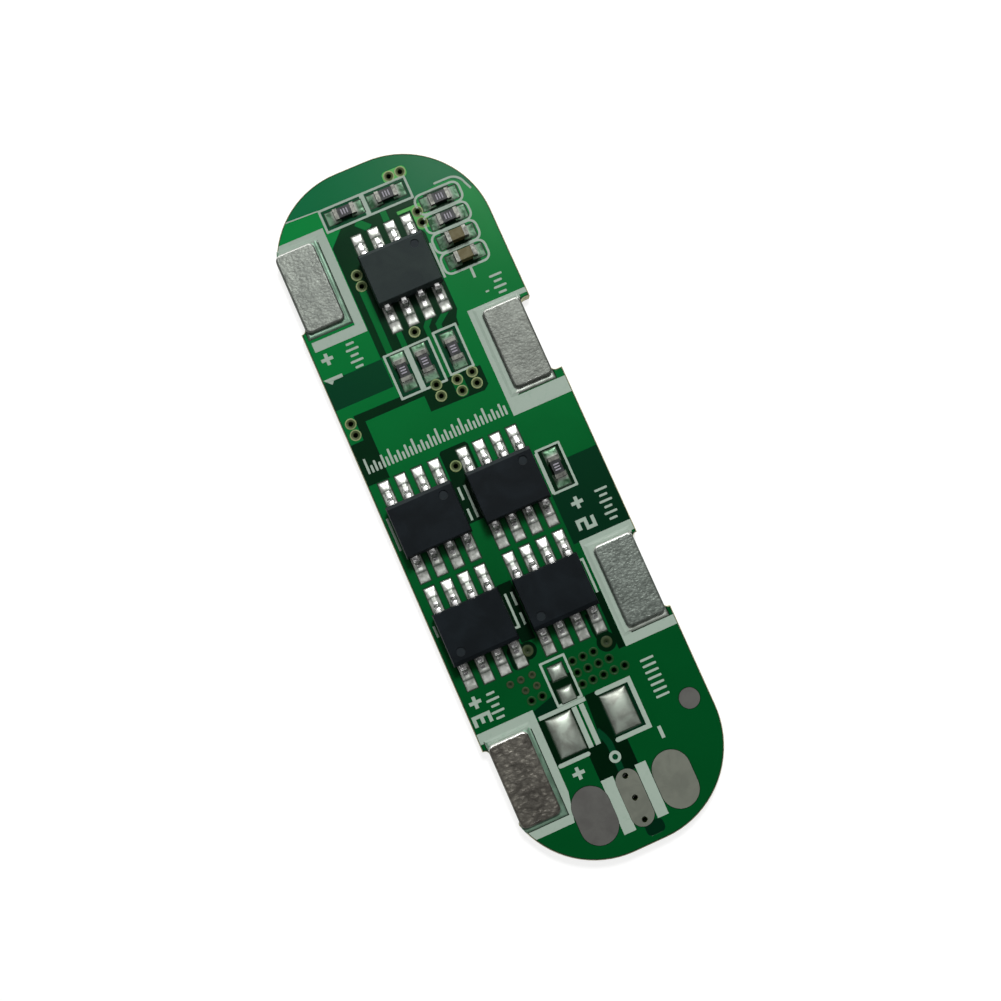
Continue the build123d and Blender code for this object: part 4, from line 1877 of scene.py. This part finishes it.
        # Painted shade: the sunk middle and the foot take a lower tone, nearer the dark hole colour, than the
        # raised ring.
        crown = [0.75 if 0.2 < r < 0.42 and z > top else 0.3 for r, z in section]
        pattern = lathed("closed_via_pattern", section, crown, 24)
        size = (self.filled_size, self.filled_size, 1.0)
        spots = [Spot((x, y, 0.0)) for x, y in self.closed]
        spots += [Spot((x, y, Cover.COPPER.height - top), 0.0, size) for x, y in self.filled]
        seat(self.trees.copy("closed_vias", pattern, spots, finish, 180.0, 0.0, 5), Slot.MASK, finish)


@dataclass
class PrintedTicks(Assembly):
    """Rows of short printed bars: a plain scale across the board and blocks of bars beside the tabs."""

    thickness: float = 0.01
    pen: float = 0.17
    corner: float = 0.18
    ease: float = 0.03
    scale_count: int = 36
    scale_start: Point = (-7.45, 5.05)
    scale_reach: float = 10.5
    scale_lengths: tuple[float, ...] = (1.15, 0.55, 0.8, 0.55, 0.95, 0.7)
    column: tuple[float, float, int] = (4.95, -14.45, 7)
    column_width: float = 1.0
    column_pitch: float = 0.45
    blocks: tuple[tuple[float, float, int], ...] = (
        (-5.1, 12.4, 5), (6.35, 13.3, 4), (6.9, -4.6, 6), (-5.9, -14.0, 5)
    )
    block_widths: Point = (0.6, 0.95)
    block_pitch: float = 0.44

    def build(self) -> None:
        """Make the bars as one piece."""
        outline = rounded_rectangle(-0.5, -0.5, 0.5, 0.5, self.corner)
        base, top = Cover.DEEP.height, Cover.COPPER.height + self.thickness
        pattern = slab_object("tick_pattern", [outline], [(base, 0.0), (top - 0.003, 0.0), (top, self.ease)])
        ticks = self.trees.copy("printed_ticks", pattern, self._spots(), self.finishes.ink)
        seat(ticks, Slot.MASK, self.finishes.ink)

    def _spots(self) -> list[Spot]:
        """Each bar's centre, and its width and length as a size for the unit pattern.

        Returns:
            The bars, as spots.
        """
        bars = []
        for step in range(self.scale_count):
            length = self.scale_lengths[step % len(self.scale_lengths)]
            x = self.scale_start[0] + step * self.scale_reach / (self.scale_count - 1)
            bars.append((x, self.scale_start[1] + length / 2, self.pen, length))
        x, top, count = self.column
        bars += [(x, top - step * self.column_pitch, self.column_width, self.pen) for step in range(count)]
        for x, bottom, count in self.blocks:
            for row in range(count):
                bars.append((x, bottom + row * self.block_pitch, self.block_widths[row % 2], self.pen))
        return [Spot((x, y, 0.0), 0.0, (width, length, 1.0)) for x, y, width, length in bars]


@dataclass
class CellTab(Assembly):
    """A nickel tab that a cell's strip is welded to, and the solder that holds it."""

    name: str
    seed: float
    corner_radius: float = 0.42
    edge_break: float = 0.13
    sink: float = 0.012
    spacing: float = 0.05
    free_edge: float = 0.03
    free_from: float = 0.25
    coarse_grains: float = 1.6
    coarse_height: float = 0.03
    fine_grains: float = 4.5
    fine_height: float = 0.016
    print_lap: float = 0.07
    print_side_lap: float = 0.2
    print_slope: float = 0.2
    print_tuck: float = 0.12
    flatness: float = 0.03

    def __post_init__(self) -> None:
        """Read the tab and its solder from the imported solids."""
        solder = f"{self.name}_solder"
        self.plate, self.rim = node_box(self.name), node_box(solder)
        self.outline = straightened(top_loops(packed(solder))[0], self.flatness)

    def build(self) -> None:
        """Make the tab, its solder and the print that runs up over the solder's rim."""
        self._plate()
        self._solder()
        self._overprint()

    def _plate(self) -> None:
        """The strip itself, crinkled on top."""
        low, high, rub = self.plate.low, self.plate.high, self.edge_break
        outline = np.array(rounded_rectangle(low.x, low.y, high.x, high.y, self.corner_radius))
        face = high.z - self.sink
        rings = [(low.z, rub / 2), (low.z + rub / 2, 0.0), (face - rub, 0.0), (face - 0.3 * rub, 0.3 * rub)]
        points, faces, inner = slab([outline], [*rings, (face, rub)], self._filling())
        strip = make_object(f"{self.name}_points", points, faces, True)
        gives = []
        for (x, y, z), free in zip(points, inner):
            away = min(x - low.x, high.x - x, y - low.y, high.y - y)
            gives.append(min(away / self.free_from, 1.0) if free and z > self.plate.centre.z else 0.0)
        store(strip, "give", gives)
        values = {
            "Coarse Grains": self.coarse_grains,
            "Coarse Height": self.coarse_height * MM,
            "Fine Grains": self.fine_grains,
            "Fine Height": self.fine_height * MM,
            "Seed": self.seed,
            "Material": self.finishes.nickel[self.name],
        }
        piece = self.trees.crinkled.bake(strip, f"{self.name}_strip", values)
        seat(piece, Slot.NICKEL, self.finishes.nickel[self.name], self.name)

    def _filling(self) -> list[Point]:
        """Points in staggered rows that keep clear of the strip's broken edge.

        Returns:
            The points, row by row.
        """
        size, centre, radius = self.plate.size, self.plate.centre, self.corner_radius
        reach = radius - (self.edge_break + self.free_edge)
        columns, rows = int(size.x / self.spacing), int(size.y / self.spacing)
        filling = []
        for row in range(1, rows):
            for column in range(1, columns):
                x = self.plate.low.x + size.x * (column + 0.5 * (row % 2)) / columns
                y = self.plate.low.y + size.y * row / rows
                past_x = max(abs(x - centre.x) - (size.x / 2 - radius), 0.0)
                past_y = max(abs(y - centre.y) - (size.y / 2 - radius), 0.0)
                if math.hypot(past_x, past_y) < reach:
                    filling.append((x, y))
        return filling

    def _solder(self) -> None:
        """The rim of solder, which climbs a little way up the tab."""
        low, high = self.rim.low.z, self.rim.high.z
        valley = high - 0.5 * (high - low)
        rings = [(low, 0.0), (low + 0.35 * (high - low), 0.005), (high - 0.02, 0.05), (high, 0.1)]
        rings += [(high, 0.15), (valley, 0.25), (valley, 0.29), (high, 0.36)]
        # The left tabs' rim solder takes a greener grey than the right tabs'.
        finish = self.finishes.metals["rim_solder" if self.rim.centre.x > 0 else "flux_stained_rim"]
        piece = slab_object(f"{self.name}_rim", [self.outline], rings, True)
        seat(piece, Slot.SOLDER, finish, f"{self.name}_solder")

    def _overprint(self) -> None:
        """The printed frame's run up over the rim: behind the tab, and along the right tabs' inner side."""
        rim, lap, bend = self.rim, self.print_lap, self.corner_radius
        back, near = rim.high.y + lap, self.plate.high.y - self.print_tuck
        outline = self._behind(near)
        if rim.centre.x > 0:
            left, inner = rim.low.x - self.print_side_lap, self.plate.low.x + self.print_tuck
            front, right = rim.low.y - lap, rim.high.x + lap
            outline = [(left, front), (inner, front), *arc((inner + bend, near - bend), bend, 180, 90)]
            outline += [(right, near), (right, back), (left, back)]
        rings = [(Cover.COPPER.height + 0.011, 0.0), (rim.high.z + 0.008, self.print_slope)]
        seat(slab_object(f"{self.name}_overprint", [outline], rings), Slot.MASK, self.finishes.ink)

    def _behind(self, near: float) -> Outline:
        """The rim's outline behind a line along X, let out over the groove round the rim.

        Args:
            near: Where the line stands along Y.

        Returns:
            The outline, anticlockwise.
        """
        cut = []
        for here, there in zip(self.outline, np.roll(self.outline, -1, axis=0)):
            if here[1] >= near:
                cut.append(here)
            if (here[1] >= near) != (there[1] >= near):
                cut.append(here + (there - here) * (near - here[1]) / (there[1] - here[1]))
        edge, lap = self.corner_radius / 4, self.print_lap
        right, back = self.rim.high.x - edge, near + edge
        return [(x + (lap if x > right else 0.0), y + (lap if y > back else 0.0)) for x, y in cut]


@dataclass(frozen=True)
class LandFill:
    """Solder on one land: a film that climbs the foot or the end that stands in it.

    The land's length runs along Y, outwards, and its centre is the origin.
    """

    width: float
    length: float
    foot_width: float
    foot_from: float
    foot_to: float
    rise: float
    film: float
    curve: float
    # How wide the band of painted light at the end of the foot is.
    band: float
    least: float = 0.012

    def pattern(self, name: str) -> SceneObject:
        """Make the solder of one land, with its underside at zero.

        Args:
            name: The object's name.

        Returns:
            The new object, with a band attribute at the end of the foot, where its finish lays painted light.
        """
        across = np.sin(np.linspace(-1, 1, 13) * math.pi / 2) * self.width / 2
        along = np.linspace(-1, 1, 23) * self.length / 2
        heights = np.array([[self._height(x, y) for x in across] for y in along])
        points, faces = height_field(across, along, heights, 0.0)
        made = make_object(name, points, faces, True)
        store(made, "band", np.exp(-(((points[:, 1] - self.foot_to) / self.band) ** 2)))
        return made

    def _height(self, x: float, y: float) -> float:
        """The solder's height at a place on the land.

        Args:
            x: The place across the land.
            y: The place along it.

        Returns:
            The height over the land.
        """
        side = max(abs(x) - self.foot_width / 2, 0) / (self.width - self.foot_width) * 2
        if y > self.foot_to:
            end = (y - self.foot_to) / (self.length / 2 - self.foot_to)
        else:
            end = max(self.foot_from - y, 0) / max(self.foot_from + self.length / 2, 1e-6)
        climb = self.rise * max(1 - math.hypot(side, end), 0.0) ** self.curve
        edge = max(abs(x) / self.width, abs(y) / self.length) * 2
        return max(self.film * math.sqrt(max(1 - edge ** 6, 0.0)) + climb, self.least)


@dataclass
class SmallOutlinePackage(Assembly):
    """A moulded package with eight gull-wing leads on eight lands."""

    name: str
    compound: Material
    seed: int
    body_edge: float = 0.03
    lead_pitch: float = 1.27
    lead_thickness: float = 0.2
    leads_per_side: int = 4
    lead_bend: float = 0.2
    lead_edge: float = 0.06
    lead_tuck: float = 0.15
    shoulder: float = 0.33
    foot: float = 0.6
    foot_drop: float = 0.035
    film: float = 0.06
    rise: float = 0.17
    climb: float = 4.0
    # Width of the painted shade at the toe of each foot.
    toe_band: float = 0.075
    fill_jitter: float = 0.02

    def build(self) -> None:
        """Make the body, the leads and the solder."""
        self.body, self.leads = node_box(f"{self.name}_body"), node_box(f"{self.name}_leads")
        self.lead_width = self.leads.size.x - (self.leads_per_side - 1) * self.lead_pitch
        moulding = softened(packed(f"{self.name}_body"), f"{self.name}_moulding", self.body_edge)
        seat(moulding, Slot.COMPOUND, self.compound, f"{self.name}_body")
        self._leads()
        self._solder()

    def _leads(self) -> None:
        """The eight leads, bent from one centre line."""
        upper = self.leads.high.z - self.lead_thickness / 2
        lower = self.leads.low.z + self.lead_thickness / 2
        leave, toe = self.body.size.y / 2, self.leads.size.y / 2
        knee = (toe - self.foot + leave + self.shoulder) / 2
        lean = (toe - self.foot - leave - self.shoulder) / 2
        line = [(leave - self.lead_tuck, upper), (knee - lean, upper), (knee + lean, lower)]
        line.append((toe, lower - self.foot_drop))
        curve = bpy.data.curves.new(f"{self.name}_lead_line", "CURVE")
        curve.dimensions = "3D"
        spline = curve.splines.new("POLY")
        spline.points.add(len(line) - 1)
        for point, (y, z) in zip(spline.points, line):
            point.co = (0.0, y * MM, z * MM, 1.0)
        tin = self.finishes.metals["tinned_lead"]
        values = {
            "Width": self.lead_width * MM,
            "Thickness": self.lead_thickness * MM,
            "Bend Radius": self.lead_bend * MM,
            "Edge Radius": self.lead_edge * MM,
            "Leads per Side": self.leads_per_side,
            "Pitch": self.lead_pitch * MM,
            "Centre": (self.leads.centre.x * MM, self.leads.centre.y * MM, 0.0),
            "Material": tin,
        }
        piece = self.trees.leads.bake(linked(curve.name, curve), f"{self.name}_formed_leads", values)
        seat(piece, Slot.LEAD, tin, f"{self.name}_leads")

    def _solder(self) -> None:
        """The solder on the eight lands."""
        lands = solid_boxes(packed(f"{self.name}_solder"))
        centre, size = self.leads.centre, lands[0].size
        toe = self.leads.size.y / 2 - abs(lands[0].centre.y - centre.y)
        foot = (self.lead_width, toe - self.foot, toe)
        fill = LandFill(size.x, size.y, *foot, self.rise, self.film, self.climb, self.toe_band)
        spots = [
            Spot((box.centre.x, box.centre.y, box.low.z), 0.0 if box.centre.y > centre.y else 180.0)
            for box in lands
        ]
        pattern, finish = fill.pattern(f"{self.name}_fill_pattern"), self.finishes.metals["solder"]
        name = f"{self.name}_solder_fill"
        piece = self.trees.copy(name, pattern, spots, finish, 0.0, self.fill_jitter, self.seed)
        seat(piece, Slot.SOLDER, finish, f"{self.name}_solder")


@dataclass
class ChipParts(Assembly):
    """The chip resistors and capacitors, the bars on the resistors and the solder at every end."""

    names: Sequence[str]
    body_edge: float = 0.02
    cap_edge: float = 0.035
    bar_spacing: float = 0.2
    bar_size: Place = (0.09, 0.42, 1.0)
    bar_corner: float = 0.2
    bar_thickness: float = 0.012
    bar_sink: float = 0.004
    land_reach: float = 0.9
    land_size: float = 0.95
    end_width: float = 0.74
    end_from: float = -0.475
    end_to: float = -0.1
    film: float = 0.04
    climb: float = 1.6
    # Width of the painted highlight next to each end cap.
    end_band: float = 0.16
    low_part: float = 0.45
    rise_share: float = 0.62
    fill_jitter: float = 0.015

    def build(self) -> None:
        """Make the ceramics, the caps, the bars and the solder."""
        for name in self.names:
            resistor = name.startswith("resistor")
            slot = Slot.GLAZE if resistor else Slot.CERAMIC
            finish = self.finishes.glaze if resistor else self.finishes.ceramic
            core, caps = packed(f"{name}_body"), packed(f"{name}_end_caps")
            seat(softened(core, f"{name}_ceramic", self.body_edge), slot, finish, core.name)
            finish = self.finishes.metals["end_cap"]
            seat(softened(caps, f"{name}_caps", self.cap_edge), Slot.END_CAP, finish, caps.name)
        outline = rounded_rectangle(-0.5, -0.5, 0.5, 0.5, self.bar_corner)
        pattern = slab_object("bar_pattern", [outline], [(0.0, 0.0), (self.bar_thickness, 0.0)])
        spots = [spot for name in self.names if name.startswith("resistor") for spot in self._bars(name)]
        ink = self.finishes.bar_ink
        seat(self.trees.copy("resistor_bars", pattern, spots, ink), Slot.GLAZE, ink)
        self._solder()

    def _bars(self, name: str) -> list[Spot]:
        """Three plain bars of print across a resistor's glaze.

        Args:
            name: The resistor's name.

        Returns:
            The bars, as spots for a unit bar.
        """
        core = node_box(f"{name}_body")
        along_x = core.size.x > core.size.y
        spots = []
        for step in (-self.bar_spacing, 0.0, self.bar_spacing):
            x, y = (step, 0.0) if along_x else (0.0, step)
            place = (core.centre.x + x, core.centre.y + y, core.high.z - self.bar_sink)
            spots.append(Spot(place, 0.0 if along_x else 90.0, self.bar_size))
        return spots

    def _solder(self) -> None:
        """The banks of solder at the ends of the chip parts, as one piece."""
        parts = [node_box(f"{name}_end_caps") for name in self.names]
        spots = []
        for box in solid_boxes(packed("chip_solder")):
            part = min(parts, key=lambda other: (other.centre - box.centre).to_2d().length)
            away = (box.centre - part.centre).to_2d()
            along_x = part.size.x > part.size.y
            x = part.centre.x + (math.copysign(self.land_reach, away.x) if along_x else 0.0)
            y = part.centre.y + (0.0 if along_x else math.copysign(self.land_reach, away.y))
            heading = math.degrees(math.atan2(away.y, away.x)) - 90.0
            spots.append(Spot((x, y, box.low.z), heading, (1, 1, part.size.z / self.low_part)))
        finish, rise = self.finishes.metals["chip_solder"], self.low_part * self.rise_share
        end = (self.end_width, self.end_from, self.end_to, rise, self.film, self.climb, self.end_band)
        pattern = LandFill(self.land_size, self.land_size, *end).pattern("bank_pattern")
        piece = self.trees.copy("chip_solder_banks", pattern, spots, finish, 0.0, self.fill_jitter, 7)
        seat(piece, Slot.SOLDER, finish, "chip_solder")


@dataclass
class SolderPillows(Assembly):
    """Solder lying free on the outputs' lands and on the lands of the spare footprint."""

    output_height: float = 0.3
    spare_height: float = 0.25
    least: float = 0.01
    roundness: float = 2.5
    steps: int = 41

    def build(self) -> None:
        """Make the two outputs' pillows and the spare footprint's two bumps."""
        for name in ("positive_output", "negative_output"):
            boxes = [node_box(f"{name}_solder")]
            self._pillows(f"{name}_pillow", f"{name}_solder", boxes, self.output_height)
        spare = "spare_footprint_solder"
        self._pillows("spare_footprint_bumps", spare, solid_boxes(packed(spare)), self.spare_height)

    def _pillows(self, name: str, node: str, boxes: Sequence[Box], height: float) -> None:
        """A soft dome of solder over each of some rectangular lands, as one piece.

        Args:
            name: The piece's name.
            node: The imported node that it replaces.
            boxes: The lands' solder.
            height: How high the domes stand.
        """
        spread = np.sin(np.linspace(-1, 1, self.steps) * math.pi / 2)
        fall = np.sqrt(1 - np.abs(spread) ** self.roundness)
        heights = np.maximum(height * np.outer(fall, fall), self.least)
        points, faces = np.zeros((0, 3)), []
        for box in boxes:
            xs, ys = (box.centre[axis] + spread * box.size[axis] / 2 for axis in (0, 1))
            more, added = height_field(xs, ys, box.low.z + heights, box.low.z)
            faces += [tuple(index + len(points) for index in face) for face in added]
            points = np.vstack((points, more))
        finish = self.finishes.metals["pillow_solder"]
        seat(make_object(name, points, faces, True), Slot.SOLDER, finish, node)


@dataclass(frozen=True)
class Lamp:
    """A soft rectangular lamp that faces the board."""

    name: str
    place: Place
    size: Point
    power: float

    def build(self) -> None:
        """Set the lamp up."""
        data = bpy.data.lights.new(self.name, "AREA")
        data.shape = "RECTANGLE"
        data.size, data.size_y = self.size[0] * MM, self.size[1] * MM
        data.energy = self.power
        lamp = linked(self.name, data)
        lamp.location = Vector(self.place) * MM
        lamp.rotation_euler = (-lamp.location).to_track_quat("-Z", "Y").to_euler()


@dataclass(frozen=True)
class Studio:
    """The floor, the light and the camera."""

    camera_place: Place = (-4.6397, -7.4776, 85.4363)
    camera_right: Place = (0.914379, -0.404477, 0.017579)
    camera_forward: Place = (0.056415, 0.084299, -0.994842)
    camera_lens: float = 43.64
    camera_clip: Point = (0.005, 20.0)
    floor_radius: float = 3000.0
    floor_paper: Colour = (0.9, 0.9, 0.9, 1.0)
    seen_paper: Colour = (0.3, 0.3, 0.3, 1.0)
    seen_glow: Colour = (0.8, 0.8, 0.8, 1.0)
    horizon: tuple[float, Colour] = (0.12, (1.0, 1.0, 1.0, 1.0))
    low_sky: tuple[float, Colour] = (0.24, (0.07, 0.07, 0.07, 1.0))
    high_sky: tuple[float, Colour] = (0.95, (0.05, 0.051, 0.052, 1.0))
    lamps: tuple[Lamp, ...] = (
        Lamp("key_light", (50.0, 105.0, 190.0), (50.0, 50.0), 0.4),
        Lamp("overhead_light", (25.0, 85.0, 195.0), (150.0, 200.0), 0.1),
        Lamp("fill_light", (-60.0, -150.0, 190.0), (90.0, 90.0), 0.025),
    )

    def build(self) -> None:
        """Set up everything that is not the board."""
        self._camera()
        self._floor()
        for lamp in self.lamps:
            lamp.build()
        self._world()
        bpy.context.scene.view_settings.view_transform = "Standard"

    def _camera(self) -> None:
        """The camera at the photograph's place."""
        data = bpy.data.cameras.new("camera")
        data.lens = self.camera_lens
        data.clip_start, data.clip_end = self.camera_clip
        right = Vector(self.camera_right).normalized()
        forward = Vector(self.camera_forward).normalized()
        turn = Matrix((right, right.cross(forward), -forward)).transposed()
        camera = linked("camera", data)
        camera.matrix_world = Matrix.Translation(Vector(self.camera_place) * MM) @ turn.to_4x4()
        bpy.context.scene.camera = camera

    def _floor(self) -> None:
        """A pale floor that is white to the camera and keeps the board's shadow."""
        outline = np.array(disc((0.0, 0.0), self.floor_radius, 64))
        points = np.column_stack((outline, np.zeros(len(outline))))
        floor = make_object("floor", points, [tuple(range(len(points)))])
        material = bpy.data.materials.new("pale_floor")
        material.use_nodes = True
        graph = Graph(material.node_tree)
        graph.tree.nodes.clear()
        kinds = ("Camera", "Glossy", "Transmission")
        rays = [graph.add("ShaderNodeLightPath", {}, f"Is {kind} Ray") for kind in kinds]
        seen = graph.maths("MAXIMUM", graph.maths("MAXIMUM", *rays[:2]), rays[2])
        papers = (self.floor_paper, self.seen_paper)
        paper, dim = (graph.add("ShaderNodeBsdfDiffuse", {"Color": colour}) for colour in papers)
        glow = graph.add("ShaderNodeEmission", {"Color": self.seen_glow, "Strength": 1.0})
        lit = graph.add("ShaderNodeAddShader", {0: dim, 1: glow})
        share = graph.maths("MULTIPLY", seen, self._uncovered(graph))
        blend = graph.add("ShaderNodeMixShader", {"Fac": share, 1: paper, 2: lit})
        graph.feed(graph.tree.nodes.new("ShaderNodeOutputMaterial"), {"Surface": blend})
        floor.data.materials.append(material)

    @staticmethod
    def _uncovered(graph: Graph) -> Socket:
        """1 on the open floor and 0 below the holes of the sense land, which it would light from below.

        Args:
            graph: The floor material's graph.

        Returns:
            The number's output.
        """
        land = node_box("sense_wire_land")
        beyond = []
        for at, axis in enumerate("XY"):
            away = graph.maths("SUBTRACT", graph.axis(graph.place(), axis), land.centre[at] * MM)
            beyond.append(graph.maths("GREATER_THAN", graph.maths("ABSOLUTE", away), land.size[at] / 2 * MM))
        return graph.maths("MAXIMUM", *beyond)

    def _world(self) -> None:
        """A dim surround with a white horizon."""
        world = bpy.data.worlds.new("studio")
        world.use_nodes = True
        bpy.context.scene.world = world
        graph = Graph(world.node_tree)
        graph.tree.nodes.clear()
        ramp = graph.tree.nodes.new("ShaderNodeValToRGB")
        first, last = ramp.color_ramp.elements
        first.position, first.color = self.horizon
        last.position, last.color = self.high_sky
        ramp.color_ramp.elements.new(self.low_sky[0]).color = self.low_sky[1]
        graph.feed(ramp, {"Fac": graph.axis(graph.add("ShaderNodeTexCoord", {}, "Generated"), "Z")})
        light = graph.add("ShaderNodeBackground", {"Color": ramp.outputs["Color"]})
        graph.feed(graph.tree.nodes.new("ShaderNodeOutputWorld"), {"Surface": light})


def corners(box: tuple[Vector, Vector]) -> list[list[float]]:
    """A box's two corners as plain lists."""
    return [[float(value) for value in corner] for corner in box]


def stems(nodes: Iterable[str], ending: str) -> list[str]:
    """The names of the parts whose nodes have an ending, without it."""
    return sorted(name[: -len(ending)] for name in nodes if name.endswith(ending))


def main() -> None:
    """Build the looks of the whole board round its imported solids."""
    logging.basicConfig(level=logging.INFO, format="%(name)s: %(message)s")
    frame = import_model()
    nodes = frame["nodes"]
    Studio().build()
    finishes = Finishes()
    trees = Trees()
    CircuitBoard(finishes, trees).build()
    PrintedTicks(finishes, trees).build()
    for number, name in enumerate(stems(nodes, "_tab")):
        CellTab(finishes, trees, f"{name}_tab", 2.0 + number * 3.7).build()
    for number, name in enumerate(stems(nodes, "_leads")):
        compound = finishes.controller if name == "controller" else finishes.transistor
        SmallOutlinePackage(finishes, trees, name, compound, 11 + number).build()
    ChipParts(finishes, trees, stems(nodes, "_end_caps")).build()
    SolderPillows(finishes, trees).build()
    lands = {
        "dull_tin": ("sense_wire_land", "negative_wire_land"),
        "stained_tin": ("positive_wire_land", "alignment_mark"),
    }
    for metal, names in lands.items():
        for name in names:
            dress(nodes[name], Slot.LAND, finishes.metals[metal])


if __name__ == "__main__":
    main()
